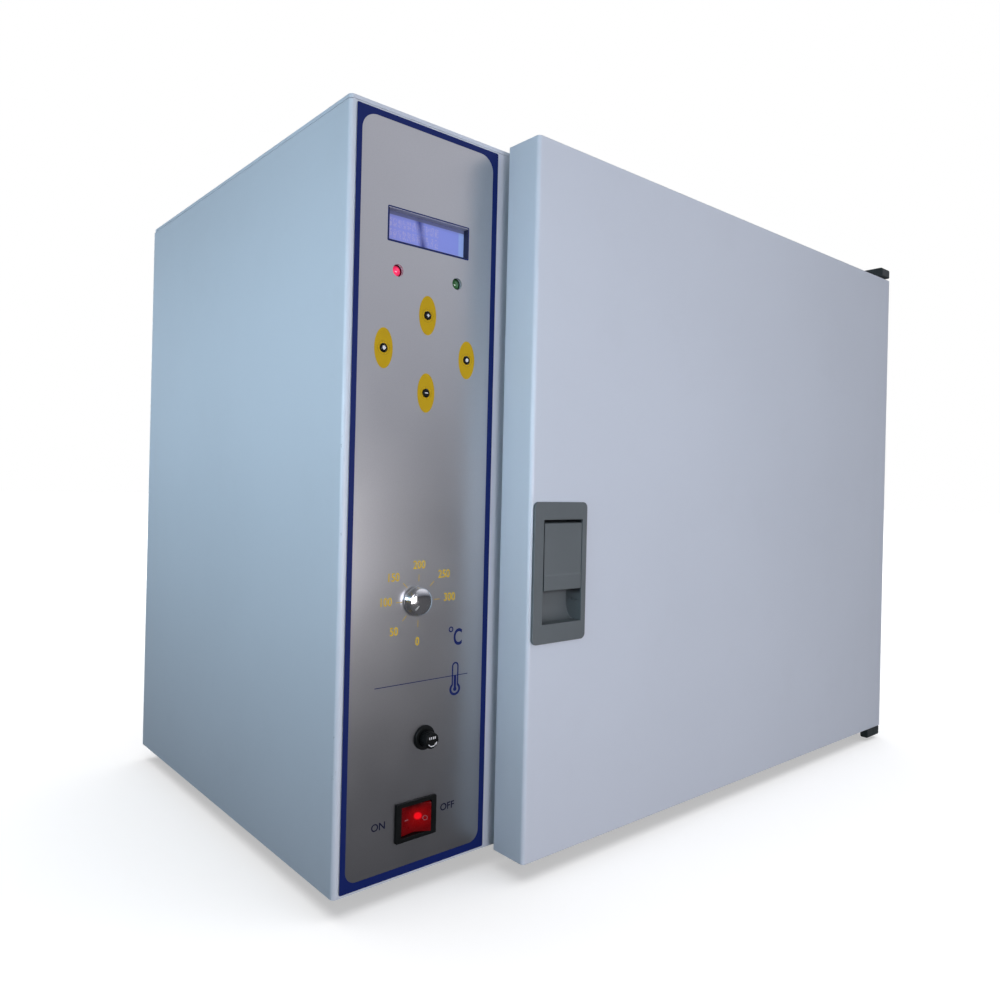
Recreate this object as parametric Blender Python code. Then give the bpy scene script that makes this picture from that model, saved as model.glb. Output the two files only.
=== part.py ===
"""Bench dry heat sterilizer: cabinet with a control column on the left, a heated
chamber on the right, and a full-height door hung on two pivot brackets at its
right edge.

Working axes used by the helpers, all in millimetres:
  x  from the cabinet's left side towards its right side
  y  from the cabinet's front face towards the back
  z  from the cabinet's underside upwards
The finished model is in metres, +Z up, with its origin at the centre of the
footprint, on the surface that the feet stand on.
"""
import math

import bmesh
import bpy
from mathutils import Vector

# ---------------------------------------------------------------- dimensions
W = 670.0            # cabinet width
H = 500.0            # cabinet height
D = 374.0            # cabinet depth
T = 1.2              # steel sheet
BEND = 3.0           # outer bend radius of the casing
FOOT_H = 14.0        # height of the rubber feet
Y_FRONT = -40.6      # face of the latch plate, the frontmost point
Y_REAR = 382.0       # knob of the vent cover, the rearmost point
GAP = 0.3            # clearance between neighbouring pieces

# chamber
CH_X0, CH_X1 = 195.0, 625.0
CH_Z0, CH_Z1 = 70.0, 420.0
CH_D = 300.0
CH_CX = 0.5 * (CH_X0 + CH_X1)
CH_CZ = 0.5 * (CH_Z0 + CH_Z1)

# door
DR_X0, DR_X1 = 124.3, 669.5
DR_YF, DR_YR = -38.2, -7.2
HG_X, HG_Y = 658.8, -22.5        # hinge axis

# control column
OV_X0, OV_X1, OV_Z0, OV_Z1 = 4.4, 119.4, 2.0, 495.8
LCD_X0, LCD_X1, LCD_Z0, LCD_Z1 = 29.2, 93.8, 415.4, 437.1
LED_RED = (37.0, 396.8)
LED_GREEN = (85.1, 396.8)
LED_HOLE_R = 4.0
KEYS = {"key_plus": (61.2, 371.3), "key_minus": (61.2, 319.7),
        "key_left": (27.4, 345.5), "key_right": (94.8, 345.5)}
KEY_HOLE_R = 3.0
KNOB = (57.3, 181.5)
FUSE = (66.0, 89.5)
SW = (60.4, 36.6)                # centre of the rocker switch

# latch, on the door
LT_X0, LT_X1, LT_Z0, LT_Z1 = 126.4, 178.2, 150.3, 248.7
LW_X0, LW_X1, LW_Z0, LW_Z1 = 135.2, 173.6, 163.6, 236.2
LT_CX = 154.0
PADDLE_Y, PADDLE_Z = -34.4, 231.0
HOOK_Y, HOOK_Z = -17.0, 208.0

SHELF_Z = {"shelf_lower": 165.0, "shelf_upper": 305.0}
VENT = (540.0, 390.0)
VENT_PIVOT = (566.0, 390.0)
VENT_REST_DEG = 75.0
INLET = (70.0, 60.0)
FEET = {"foot_front_left": (60.0, 60.0), "foot_front_right": (610.0, 60.0),
        "foot_rear_left": (60.0, 314.0), "foot_rear_right": (610.0, 314.0)}

YC = 0.5 * (Y_FRONT + Y_REAR)

MATERIALS = {
    # name: (colour, metallic, roughness)
    "white_paint": ((0.78, 0.82, 0.86), 0.0, 0.35),
    "stainless": ((0.62, 0.62, 0.61), 1.0, 0.32),
    "galvanised": ((0.55, 0.57, 0.58), 1.0, 0.45),
    "steel_pin": ((0.50, 0.50, 0.50), 1.0, 0.30),
    "mineral_wool": ((0.55, 0.50, 0.36), 0.0, 0.95),
    "silicone": ((0.62, 0.30, 0.22), 0.0, 0.60),
    "grey_plastic": ((0.20, 0.23, 0.24), 0.0, 0.45),
    "dark_hinge": ((0.05, 0.065, 0.065), 0.0, 0.50),
    "black_plastic": ((0.02, 0.02, 0.02), 0.0, 0.40),
    "overlay_film": ((0.42, 0.43, 0.44), 0.0, 0.30),
    "display_glass": ((0.30, 0.38, 0.85), 0.0, 0.12),
    "board_green": ((0.03, 0.18, 0.08), 0.0, 0.50),
    "led_red": ((0.80, 0.02, 0.06), 0.0, 0.20),
    "led_green": ((0.08, 0.30, 0.10), 0.0, 0.20),
    "chrome": ((0.80, 0.80, 0.80), 1.0, 0.08),
    "brass": ((0.70, 0.52, 0.25), 1.0, 0.30),
    "ceramic": ((0.80, 0.78, 0.72), 0.0, 0.60),
    "rocker_red": ((0.45, 0.00, 0.02), 0.0, 0.20),
    "bronze": ((0.45, 0.30, 0.15), 1.0, 0.40),
    "rubber": ((0.03, 0.03, 0.03), 0.0, 0.80),
    "aluminium": ((0.65, 0.66, 0.67), 1.0, 0.40),
}

# ------------------------------------------------------------------- helpers
for old in list(bpy.data.objects):
    bpy.data.objects.remove(old, do_unlink=True)


def P(x, y, z):
    """Working millimetres to model metres."""
    return Vector(((x - 0.5 * W) / 1000.0, (y - YC) / 1000.0, (z + FOOT_H) / 1000.0))


def material(name):
    mat = bpy.data.materials.get(name)
    if mat is None:
        col, metal, rough = MATERIALS[name]
        mat = bpy.data.materials.new(name)
        mat.use_nodes = True
        bsdf = mat.node_tree.nodes["Principled BSDF"]
        bsdf.inputs["Base Color"].default_value = (*col, 1.0)
        bsdf.inputs["Metallic"].default_value = metal
        bsdf.inputs["Roughness"].default_value = rough
        mat.diffuse_color = (*col, 1.0)
    return mat


def finish_mesh(bm, name, mat, smooth=False):
    bmesh.ops.recalc_face_normals(bm, faces=bm.faces)
    me = bpy.data.meshes.new(name)
    bm.to_mesh(me)
    bm.free()
    ob = bpy.data.objects.new(name, me)
    bpy.context.scene.collection.objects.link(ob)
    me.materials.append(material(mat))
    if smooth:
        me.shade_smooth()
        me.set_sharp_from_angle(angle=math.radians(32))
    return ob


def prism(name, pts, plane, lo, hi, mat="white_paint", smooth=False):
    """Extrude a closed outline. plane is XZ, YZ or XY; lo..hi is the third axis."""
    put = {"XZ": lambda a, b, c: P(a, c, b),
           "YZ": lambda a, b, c: P(c, a, b),
           "XY": lambda a, b, c: P(a, b, c)}[plane]
    bm = bmesh.new()
    low = [bm.verts.new(put(a, b, lo)) for a, b in pts]
    high = [bm.verts.new(put(a, b, hi)) for a, b in pts]
    bm.faces.new(low)
    bm.faces.new(list(reversed(high)))
    n = len(pts)
    for i in range(n):
        j = (i + 1) % n
        bm.faces.new((low[j], low[i], high[i], high[j]))
    return finish_mesh(bm, name, mat, smooth)


def box(name, x0, x1, y0, y1, z0, z1, mat="white_paint"):
    return prism(name, [(x0, y0), (x1, y0), (x1, y1), (x0, y1)], "XY", z0, z1, mat)


def arc(cx, cy, r, a0, a1, n):
    return [(cx + r * math.cos(math.radians(a0 + (a1 - a0) * i / n)),
             cy + r * math.sin(math.radians(a0 + (a1 - a0) * i / n)))
            for i in range(n + 1)]


def rounded(x0, x1, y0, y1, r, n=3):
    pts = []
    pts += arc(x1 - r, y1 - r, r, 0, 90, n)
    pts += arc(x0 + r, y1 - r, r, 90, 180, n)
    pts += arc(x0 + r, y0 + r, r, 180, 270, n)
    pts += arc(x1 - r, y0 + r, r, 270, 360, n)
    return pts


def lathe(name, profile, axis, centre, mat, seg=20, ring=False, phase=0.0):
    """Turn a profile of (radius, position along axis). centre is the working
    position of the axis; a ring's profile closes on itself."""
    bm = bmesh.new()
    rows = []
    for r, t in profile:
        if r < 1e-6:
            rows.append([bm.verts.new(on_axis(axis, centre, 0.0, 0.0, t))])
        else:
            row = []
            for k in range(seg):
                a = 2 * math.pi * (k + phase) / seg
                row.append(bm.verts.new(on_axis(axis, centre, r * math.cos(a),
                                                r * math.sin(a), t)))
            rows.append(row)
    pairs = list(zip(rows, rows[1:]))
    if ring:
        pairs.append((rows[-1], rows[0]))
    for a, b in pairs:
        if len(a) == 1 and len(b) == 1:
            continue
        for k in range(seg):
            j = (k + 1) % seg
            if len(a) == 1:
                bm.faces.new((a[0], b[k], b[j]))
            elif len(b) == 1:
                bm.faces.new((a[k], a[j], b[0]))
            else:
                bm.faces.new((a[k], a[j], b[j], b[k]))
    return finish_mesh(bm, name, mat, smooth=True)


def on_axis(axis, centre, u, v, t):
    if axis == "Y":
        return P(centre[0] + u, t, centre[1] + v)
    if axis == "Z":
        return P(centre[0] + u, centre[1] + v, t)
    return P(t, centre[0] + u, centre[1] + v)


def cyl(name, r, axis, centre, t0, t1, mat="steel_pin", seg=16):
    return lathe(name, [(0, t0), (r, t0), (r, t1), (0, t1)], axis, centre, mat, seg)


def boolean(target, others, op):
    """Cut or join and keep the result as plain geometry."""
    for other in others:
        mod = target.modifiers.new("join" if op == "UNION" else "cut", "BOOLEAN")
        mod.operation = op
        mod.object = other
        mod.solver = "EXACT"
        bpy.context.view_layer.update()
        graph = bpy.context.evaluated_depsgraph_get()
        made = bpy.data.meshes.new_from_object(target.evaluated_get(graph))
        target.modifiers.clear()
        old = target.data
        target.data = made
        made.name = target.name
        bpy.data.meshes.remove(old)
        bpy.data.objects.remove(other, do_unlink=True)
    target.data.materials.clear()
    return target


def carve(target, mat, *others):
    boolean(target, others, "DIFFERENCE")
    target.data.materials.append(material(mat))
    return target


def weld(target, mat, *others):
    boolean(target, others, "UNION")
    target.data.materials.append(material(mat))
    return target


def soften(ob, angle=32):
    ob.data.shade_smooth()
    ob.data.set_sharp_from_angle(angle=math.radians(angle))
    return ob


def set_origin(ob, x, y, z):
    o = P(x, y, z)
    for v in ob.data.vertices:
        v.co -= o
    ob.location = o
    return ob


def pivot(name, x, y, z, children):
    em = bpy.data.objects.new(name, None)
    em.empty_display_size = 0.02
    em.location = P(x, y, z)
    bpy.context.scene.collection.objects.link(em)
    bpy.context.view_layer.update()
    for ob in children:
        ob.parent = em
        ob.matrix_parent_inverse = em.matrix_world.inverted()
    return em


# ------------------------------------------------------------ casing (cabinet)
# One folded sheet forms the left side, the front and the right side.
outer = [(0.0, D)] + arc(BEND, BEND, BEND, 180, 270, 4) + \
    arc(W - BEND, BEND, BEND, 270, 360, 4) + [(W, D)]
ri = BEND - T
inner = [(W - T, D)] + arc(W - BEND, BEND, ri, 360, 270, 4) + \
    arc(BEND, BEND, ri, 270, 180, 4) + [(T, D)]
body_wrap = prism("body_wrap", outer + inner, "XY", 0.0, 497.1)
front_holes = [
    box("c", CH_X0 - 1.4, CH_X1 + 1.4, -1, 3, CH_Z0 - 1.4, CH_Z1 + 1.4),
    box("c", LCD_X0, LCD_X1, -1, 3, LCD_Z0, LCD_Z1),
    cyl("c", LED_HOLE_R, "Y", LED_RED, -1, 3),
    cyl("c", LED_HOLE_R, "Y", LED_GREEN, -1, 3),
    cyl("c", 4.5, "Y", KNOB, -1, 3),
    cyl("c", 6.6, "Y", FUSE, -1, 3),
    box("c", SW[0] - 14.6, SW[0] + 14.6, -1, 3, SW[1] - 11.2, SW[1] + 11.2),
    box("c", LT_CX - 7.5, LT_CX + 7.5, -1, 3, 195.5, 217.0),
]
front_holes += [cyl("c", KEY_HOLE_R, "Y", c, -1, 3, seg=12) for c in KEYS.values()]
carve(body_wrap, "white_paint", *front_holes)
soften(body_wrap)

# Lid of the casing: a shallow pan whose lip meets the folded sheet.
top_cover = prism("top_cover", rounded(0, W, 0, D, BEND, 3), "XY", 497.4, H)
carve(top_cover, "white_paint", box("c", T, W - T, T, D - T, 490, H - T))
soften(top_cover)

base_tray = prism("base_tray", rounded(1.6, W - 1.6, 1.6, 372.4, 2.0, 2), "XY", 0.4, 16.0)
carve(base_tray, "white_paint", box("c", 2.8, W - 2.8, 2.8, 371.2, 1.6, 20.0))

rear_panel = box("rear_panel", 1.5, W - 1.5, D - T, D, 0.4, 497.1)
rear_cuts = [box("c", INLET[0] - 14.4, INLET[0] + 14.4, 370, 378,
                 INLET[1] - 10.4, INLET[1] + 10.4),
             cyl("c", 13.4, "Y", VENT, 370, 378, seg=20),
             cyl("c", 2.4, "Y", VENT_PIVOT, 370, 378, seg=10)]
for k in range(8):
    z = 330.0 + 12.0 * k
    rear_cuts.append(box("c", 30.0, 110.0, 370, 378, z, z + 4.0))
carve(rear_panel, "white_paint", *rear_cuts)

bulkhead = box("bulkhead", 138.8, 140.0, 3.2, 370.8, 2.0, 498.3, "galvanised")
carve(bulkhead, "galvanised",
      cyl("c", 6.0, "X", (300.0, 380.0), 130, 150, seg=12),
      cyl("c", 8.0, "X", (340.0, 245.0), 130, 150, seg=12))

for foot, (fx, fy) in FEET.items():
    lathe(foot, [(0, -FOOT_H), (11.5, -FOOT_H), (12.5, -FOOT_H + 1.5), (14.0, -1.0),
                 (14.0, 0.1), (0, 0.1)], "Z", (fx, fy), "rubber", seg=20)

# ------------------------------------------------------------------- chamber
liner = box("chamber_liner", CH_X0 - 1, CH_X1 + 1, -1.3, CH_D + 1, CH_Z0 - 1, CH_Z1 + 1)
weld(liner, "stainless", prism("c", rounded(CH_X0 - 13, CH_X1 + 13, CH_Z0 - 13,
                                            CH_Z1 + 13, 5, 3), "XZ", -1.3, -0.3))
PROBE = (585.0, 380.0)
BULB = (235.0, 380.0)
HEAT_R = 80.0
LEG_X = 8.0
HEAT_Z = CH_CZ + math.sqrt(HEAT_R ** 2 - (LEG_X + 6.0) ** 2)
legs = [(CH_CX - LEG_X, HEAT_Z), (CH_CX + LEG_X, HEAT_Z)]
carve(liner, "stainless",
      box("c", CH_X0, CH_X1, -5, CH_D, CH_Z0, CH_Z1),
      cyl("c", 4.6, "Y", (CH_CX, CH_CZ), 290, 310, seg=12),
      cyl("c", 4.2, "Y", legs[0], 290, 310, seg=10),
      cyl("c", 4.2, "Y", legs[1], 290, 310, seg=10),
      cyl("c", 3.2, "Y", PROBE, 290, 310, seg=10),
      cyl("c", 3.6, "Y", BULB, 290, 310, seg=10),
      cyl("c", 11.5, "Y", VENT, 290, 310, seg=20))

wool = box("chamber_insulation", 140.4, 666.5, 3.4, 345.0, 16.5, 497.0)
carve(wool, "mineral_wool",
      box("c", CH_X0 - 1.4, CH_X1 + 1.4, -5, CH_D + 1.4, CH_Z0 - 1.4, CH_Z1 + 1.4),
      box("c", 142.0, 170.0, 0, 20.0, 187.0, 235.0),
      cyl("c", 5.0, "Y", (CH_CX, CH_CZ), 290, 330, seg=12),
      cyl("c", 37.0, "Y", (CH_CX, CH_CZ), 321.0, 350, seg=20),
      cyl("c", 4.6, "Y", legs[0], 290, 350, seg=10),
      cyl("c", 4.6, "Y", legs[1], 290, 350, seg=10),
      cyl("c", 3.6, "Y", PROBE, 290, 350, seg=10),
      cyl("c", 4.0, "Y", BULB, 290, 350, seg=10),
      cyl("c", 13.6, "Y", VENT, 290, 350, seg=20))

baffle = box("air_baffle", CH_X0 + 2.2, CH_X1 - 2.2, 270.0, 271.2, CH_Z0 + 1, CH_Z1 - 1)
cuts = []
for k in range(7):
    z = CH_CZ - 36.0 + 12.0 * k
    half = math.sqrt(44.0 ** 2 - (12.0 * (k - 3)) ** 2)
    cuts.append(box("c", CH_CX - half, CH_CX + half, 268, 273, z - 3, z + 3))
for k in range(4):
    z = CH_Z0 + 45.0 + 72.0 * k
    cuts.append(box("c", CH_X0 + 12, CH_X0 + 18, 268, 273, z, z + 50))
    cuts.append(box("c", CH_X1 - 18, CH_X1 - 12, 268, 273, z, z + 50))
cuts.append(cyl("c", 3.2, "Y", PROBE, 260, 280, seg=10))
cuts.append(cyl("c", 3.6, "Y", BULB, 260, 280, seg=10))
carve(baffle, "stainless", *cuts)


def rack(name, x_wall, side):
    """Pressed strip with three runner ledges, on a side wall of the chamber."""
    t, ledge = 1.2, 11.0
    a, b, c = x_wall + side * 0.4, x_wall + side * (0.4 + t), x_wall + side * ledge
    pts = [(a, 90.0), (b, 90.0)]
    for z in (165.0, 235.0, 305.0):
        pts += [(b, z - 1.5), (c, z - 1.5), (c, z), (b, z)]
    pts += [(b, 400.0), (a, 400.0)]
    return prism(name, pts, "XZ", 8.0, 266.0, "stainless")


rack("shelf_rack_left", CH_X0, 1)
rack("shelf_rack_right", CH_X1, -1)

for shelf, z in SHELF_Z.items():
    t = 1.2
    z0 = z + GAP
    ob = prism(shelf, [(14, z0), (264, z0), (264, z0 + 9), (262.8, z0 + 9),
                       (262.8, z0 + t), (15.2, z0 + t), (15.2, z0 + 9), (14, z0 + 9)],
               "YZ", CH_X0 + 3.5, CH_X1 - 3.5, "stainless")
    slots = [box("c", CH_X0 + 24 + 48.5 * k, CH_X0 + 24 + 48.5 * k + 32, 32, 246,
                 z0 - 2, z0 + 4) for k in range(8)]
    carve(ob, "stainless", *slots)
    set_origin(ob, CH_CX, 139.0, z0)

# Tubular heater: a ring round the fan with two legs through the back wall.
HY = 286.0
route = []
for k in range(4):
    route.append((CH_CX - LEG_X, 332.0 - k * (332.0 - HY - 6.0) / 3.0, HEAT_Z))
for a in (22.5, 45.0, 67.5):
    route.append((CH_CX - LEG_X - 6 + 6 * math.cos(math.radians(a)),
                  HY + 6 - 6 * math.sin(math.radians(a)), HEAT_Z))
a0 = math.degrees(math.acos(-(LEG_X + 6) / HEAT_R))
for k in range(33):
    a = math.radians(a0 + (360.0 - 2 * (a0 - 90.0)) * k / 32.0)
    route.append((CH_CX + HEAT_R * math.cos(a), HY, CH_CZ + HEAT_R * math.sin(a)))
for a in (67.5, 45.0, 22.5):
    route.append((CH_CX + LEG_X + 6 - 6 * math.cos(math.radians(a)),
                  HY + 6 - 6 * math.sin(math.radians(a)), HEAT_Z))
for k in range(4):
    route.append((CH_CX + LEG_X, HY + 6.0 + k * (332.0 - HY - 6.0) / 3.0, HEAT_Z))
cu = bpy.data.curves.new("heater_element", "CURVE")
cu.dimensions = "3D"
cu.bevel_depth = 0.0032
cu.bevel_resolution = 2
cu.use_fill_caps = True
sp = cu.splines.new("POLY")
sp.points.add(len(route) - 1)
for pt, q in zip(sp.points, route):
    pt.co = (*P(*q), 1.0)
cu.materials.append(material("stainless"))
heater = bpy.data.objects.new("heater_element", cu)
bpy.context.scene.collection.objects.link(heater)

# Circulation fan
fan = lathe("fan_wheel", [(3.3, 276), (13, 276), (13, 289.5), (60, 289.5), (60, 291),
                          (3.3, 291)], "Y", (CH_CX, CH_CZ), "stainless", 24, ring=True)
blades = []
for k in range(8):
    a = math.radians(45.0 * k + 10.0)
    ca, sa = math.cos(a), math.sin(a)
    quad = [(12.0, -0.8), (57.0, -0.8), (57.0, 0.8), (12.0, 0.8)]
    pts = [(CH_CX + r * ca - s * sa, CH_CZ + r * sa + s * ca) for r, s in quad]
    blades.append(prism("c", pts, "XZ", 277.5, 290.0))
weld(fan, "stainless", *blades)
soften(fan)
set_origin(fan, CH_CX, 284.0, CH_CZ)
shaft = cyl("fan_shaft", 3.0, "Y", (CH_CX, CH_CZ), 275.0, 323.6, "steel_pin", 12)
set_origin(shaft, CH_CX, 284.0, CH_CZ)
lathe("fan_motor", [(0, 324), (12, 324), (12, 328), (32, 328), (33, 330), (33, 360),
                    (31, 362), (0, 362)], "Y", (CH_CX, CH_CZ), "aluminium", 20)

lathe("temperature_probe", [(0, 205), (1.6, 205.6), (2.5, 208), (2.5, 346), (6, 346),
                            (6, 352), (0, 352)], "Y", PROBE, "stainless", 10)
lathe("thermostat_bulb", [(0, 215), (2.0, 215.6), (3.0, 218), (3.0, 346), (1.2, 348),
                          (1.2, 356), (0, 356)], "Y", BULB, "stainless", 10)

lathe("vent_tube", [(11.5, 301.4), (13, 301.4), (13, 374.4), (20, 374.4),
                    (20, 376.2), (11.5, 376.2)], "Y", VENT, "stainless", 20, ring=True)

# Swinging cover of the vent, parked clear of the tube.
va = math.radians(180.0 - VENT_REST_DEG)
reach = VENT[0] - VENT_PIVOT[0]
cc = (VENT_PIVOT[0] + abs(reach) * math.cos(va), VENT_PIVOT[1] + abs(reach) * math.sin(va))
deg = math.degrees(va)
outline = arc(cc[0], cc[1], 15.5, deg - 78, deg + 78, 10) + \
    arc(VENT_PIVOT[0], VENT_PIVOT[1], 6.0, deg + 112, deg + 248, 5)
cover = prism("vent_cover", outline, "XZ", 376.6, 378.0, "stainless")
weld(cover, "stainless", cyl("c", 5.0, "Y", cc, 377.0, Y_REAR, seg=12),
     cyl("c", 2.0, "Y", VENT_PIVOT, 369.0, 377.2, seg=10))
soften(cover)
set_origin(cover, VENT_PIVOT[0], 377.0, VENT_PIVOT[1])

# Gasket round the chamber opening
gasket = prism("door_gasket", rounded(CH_X0 - 22.5, CH_X1 + 22.5, CH_Z0 - 22.5,
                                      CH_Z1 + 22.5, 14, 3), "XZ", -6.8, -0.35, "silicone")
carve(gasket, "silicone", prism("c", rounded(CH_X0 - 13.6, CH_X1 + 13.6, CH_Z0 - 13.6,
                                             CH_Z1 + 13.6, 5, 3), "XZ", -9, 2))
soften(gasket)

# ---------------------------------------------------------------------- door
pan = prism("door_outer_pan",
            [(DR_X0, DR_YR)] + arc(DR_X0 + BEND, DR_YF + BEND, BEND, 180, 270, 3) +
            arc(DR_X1 - BEND, DR_YF + BEND, BEND, 270, 360, 3) + [(DR_X1, DR_YR)],
            "XY", 0.0, H)
carve(pan, "white_paint",
      box("c", DR_X0 + T, DR_X1 - T, DR_YF + T, 0, T, H - T),
      box("c", 131.2, 175.6, -45, -30, 158.8, 239.8),
      cyl("c", 6.4, "Z", (HG_X, HG_Y), -5, 5, seg=16),
      cyl("c", 6.4, "Z", (HG_X, HG_Y), H - 5, H + 5, seg=16))
soften(pan)
inner_panel = box("door_inner_panel", DR_X0 + 1.6, DR_X1 - 1.6, -8.6, -7.4, 1.6, H - 1.6,
                  "stainless")
carve(inner_panel, "stainless", box("c", LT_CX - 7, LT_CX + 7, -12, -5, 196, 219))
door_wool = box("door_insulation", 180.5, 644.0, -36.6, -9.0, 3.0, H - 3.0, "mineral_wool")

housing = prism("latch_housing", rounded(LT_X0, LT_X1, LT_Z0, LT_Z1, 4.0, 3), "XZ",
                Y_FRONT, DR_YF - GAP, "grey_plastic")
weld(housing, "grey_plastic",
     box("c", LW_X0 - 1.8, LW_X1 + 1.6, DR_YF - 1.0, -23.0, LW_Z0 - 1.8, LW_Z1 + 1.8))
carve(housing, "grey_plastic",
      prism("c", [(-50, LW_Z0), (-29.5, LW_Z0 + 0.5), (-26.5, LW_Z0 + 3.0),
                  (-25.2, LW_Z0 + 8.0), (-25.2, LW_Z1), (-50, LW_Z1)],
            "YZ", LW_X0, LW_X1))
soften(housing)
paddle = prism("latch_paddle",
               [(-39.8, 232.5), (-38.0, 234.4), (-32.4, 234.4), (-31.8, 232.5),
                (-31.8, 227.6), (-36.4, 226.6), (-36.6, 190.0), (-37.6, 187.0),
                (-40.2, 187.0), (-40.5, 188.2), (-40.3, 195.0), (-39.8, 197.5)],
               "YZ", LW_X0 + 0.6, LW_X1 - 0.6, "grey_plastic")
carve(paddle, "grey_plastic",
      cyl("c", 1.9, "X", (PADDLE_Y, PADDLE_Z), 120, 190, seg=10))
set_origin(paddle, LT_CX, PADDLE_Y, PADDLE_Z)
cyl("latch_pivot_pin", 1.5, "X", (PADDLE_Y, PADDLE_Z), LW_X0 + 0.4, LW_X1 - 0.4,
    "steel_pin", 10)
hook = prism("latch_hook",
             [(-22.0, 205.0), (-19.0, 203.2), (7.5, 204.2), (9.6, 206.0), (9.4, 209.0),
              (6.2, 214.8), (4.9, 214.8), (4.9, 210.6), (-13.0, 211.6), (-18.0, 212.6),
              (-21.5, 211.0)],
             "YZ", LT_CX - 3.0, LT_CX + 3.0, "steel_pin")
set_origin(hook, LT_CX, HOOK_Y, HOOK_Z)
striker = box("striker_box", 144.0, 168.0, 1.6, 17.2, 190.0, 232.0, "galvanised")
carve(striker, "galvanised",
      box("c", 145.5, 166.5, 3.4, 15.7, 191.5, 230.5),
      box("c", LT_CX - 7.2, LT_CX + 7.2, 0, 5, 195.4, 215.2))

bush_top = lathe("hinge_bush_top", [(4.3, 480), (6.0, 480), (6.0, 500.4), (8.0, 500.4),
                                    (8.0, 502.2), (4.3, 502.2)], "Z", (HG_X, HG_Y),
                 "bronze", 16, ring=True)
bush_bottom = lathe("hinge_bush_bottom", [(4.3, 0.2), (6.0, 0.2), (6.0, 18.0),
                                          (4.3, 18.0)], "Z", (HG_X, HG_Y),
                    "bronze", 16, ring=True)
pivot("door_hinge_axis", HG_X, HG_Y, 0.5 * H,
      [pan, inner_panel, door_wool, housing, bpy.data.objects["latch_pivot_pin"],
       bush_top, bush_bottom])

bracket_top = prism("hinge_bracket_top",
                    [(-38.0, 502.8), (1.6, 502.8), (1.6, 500.4), (46.0, 500.4),
                     (46.0, 509.0), (42.0, 512.3), (-38.0, 512.3)],
                    "YZ", 650.2, 667.6, "dark_hinge")
carve(bracket_top, "dark_hinge", cyl("c", 4.4, "Z", (HG_X, HG_Y), 495, 520, seg=16))
bracket_bottom = prism("hinge_bracket_bottom",
                       [(-37.6, -0.7), (-37.6, -10.2), (-29.4, -10.2), (-28.6, -4.4),
                        (46.0, -4.4), (46.0, -0.7)],
                       "YZ", 641.2, 667.5, "dark_hinge")
carve(bracket_bottom, "dark_hinge", cyl("c", 4.4, "Z", (HG_X, HG_Y), -8, 5, seg=16))
cyl("hinge_pin_top", 4.0, "Z", (HG_X, HG_Y), 482.0, 512.0, "steel_pin", 16)
cyl("hinge_pin_bottom", 4.0, "Z", (HG_X, HG_Y), -4.2, 16.0, "steel_pin", 16)

# -------------------------------------------------------------- control column
overlay = box("control_overlay", OV_X0, OV_X1, -0.8, -0.3, OV_Z0, OV_Z1, "overlay_film")
carve(overlay, "overlay_film",
      box("c", LCD_X0, LCD_X1, -3, 2, LCD_Z0, LCD_Z1),
      cyl("c", LED_HOLE_R, "Y", LED_RED, -3, 2),
      cyl("c", LED_HOLE_R, "Y", LED_GREEN, -3, 2),
      cyl("c", 4.5, "Y", KNOB, -3, 2),
      cyl("c", 6.6, "Y", FUSE, -3, 2),
      box("c", SW[0] - 14.6, SW[0] + 14.6, -3, 2, SW[1] - 11.2, SW[1] + 11.2),
      *[cyl("c", KEY_HOLE_R, "Y", c, -3, 2, seg=12) for c in KEYS.values()])

LCX, LCZ = 0.5 * (LCD_X0 + LCD_X1), 0.5 * (LCD_Z0 + LCD_Z1)
lcd = box("lcd_module", LCX - 35.6, LCX + 35.6, 3.6, 11.0, LCZ - 12.6, LCZ + 12.6,
          "black_plastic")
carve(lcd, "black_plastic", box("c", LCX - 33.2, LCX + 33.2, 0, 6.2, LCZ - 11.6, LCZ + 11.6))
box("lcd_glass", LCX - 32.8, LCX + 32.8, 4.2, 5.8, LCZ - 11.2, LCZ + 11.2, "display_glass")

board = box("control_board", 16.0, 107.0, 12.0, 13.6, 305.0, 450.0, "board_green")
weld(board, "board_green",
     *[box("c", kx - 3, kx + 3, 6.6, 12.4, kz - 3, kz + 3) for kx, kz in KEYS.values()])

for led, (lx, lz) in (("led_red", LED_RED), ("led_green", LED_GREEN)):
    lathe(led, [(0, 0.7), (1.9, 1.1), (3.1, 2.2), (3.6, 4.0), (3.6, 10.0), (4.4, 10.0),
                (4.4, 11.6), (0, 11.6)], "Y", (lx, lz), led, 16)

for key, (kx, kz) in KEYS.items():
    ob = lathe(key, [(0, -1.5), (1.9, -1.5), (2.6, -1.0), (2.6, 1.6), (3.8, 1.6),
                     (3.8, 2.6), (1.5, 2.6), (1.5, 5.8), (0, 5.8)], "Y", (kx, kz),
               "black_plastic", 16)
    set_origin(ob, kx, 0.0, kz)

knob = lathe("thermostat_knob",
             [(3.3, -1.1), (9.6, -1.1), (10.1, -1.6), (10.1, -2.6), (9.4, -3.0),
              (9.2, -6.4), (8.6, -7.1), (0, -7.6), (0, -4.8), (3.3, -4.8)],
             "Y", KNOB, "chrome", 24, ring=True)
set_origin(knob, KNOB[0], -3.0, KNOB[1])
kshaft = cyl("thermostat_shaft", 3.0, "Y", KNOB, -4.4, 11.6, "steel_pin", 12)
set_origin(kshaft, KNOB[0], -3.0, KNOB[1])
stat = box("thermostat_body", KNOB[0] - 18.5, KNOB[0] + 18.5, 4.0, 34.0,
           KNOB[1] - 18.5, KNOB[1] + 18.5, "ceramic")
weld(stat, "ceramic", cyl("c", 6.2, "Y", KNOB, 1.5, 5.0, seg=12))
carve(stat, "ceramic", cyl("c", 3.4, "Y", KNOB, 0, 12.0, seg=12))

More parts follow.
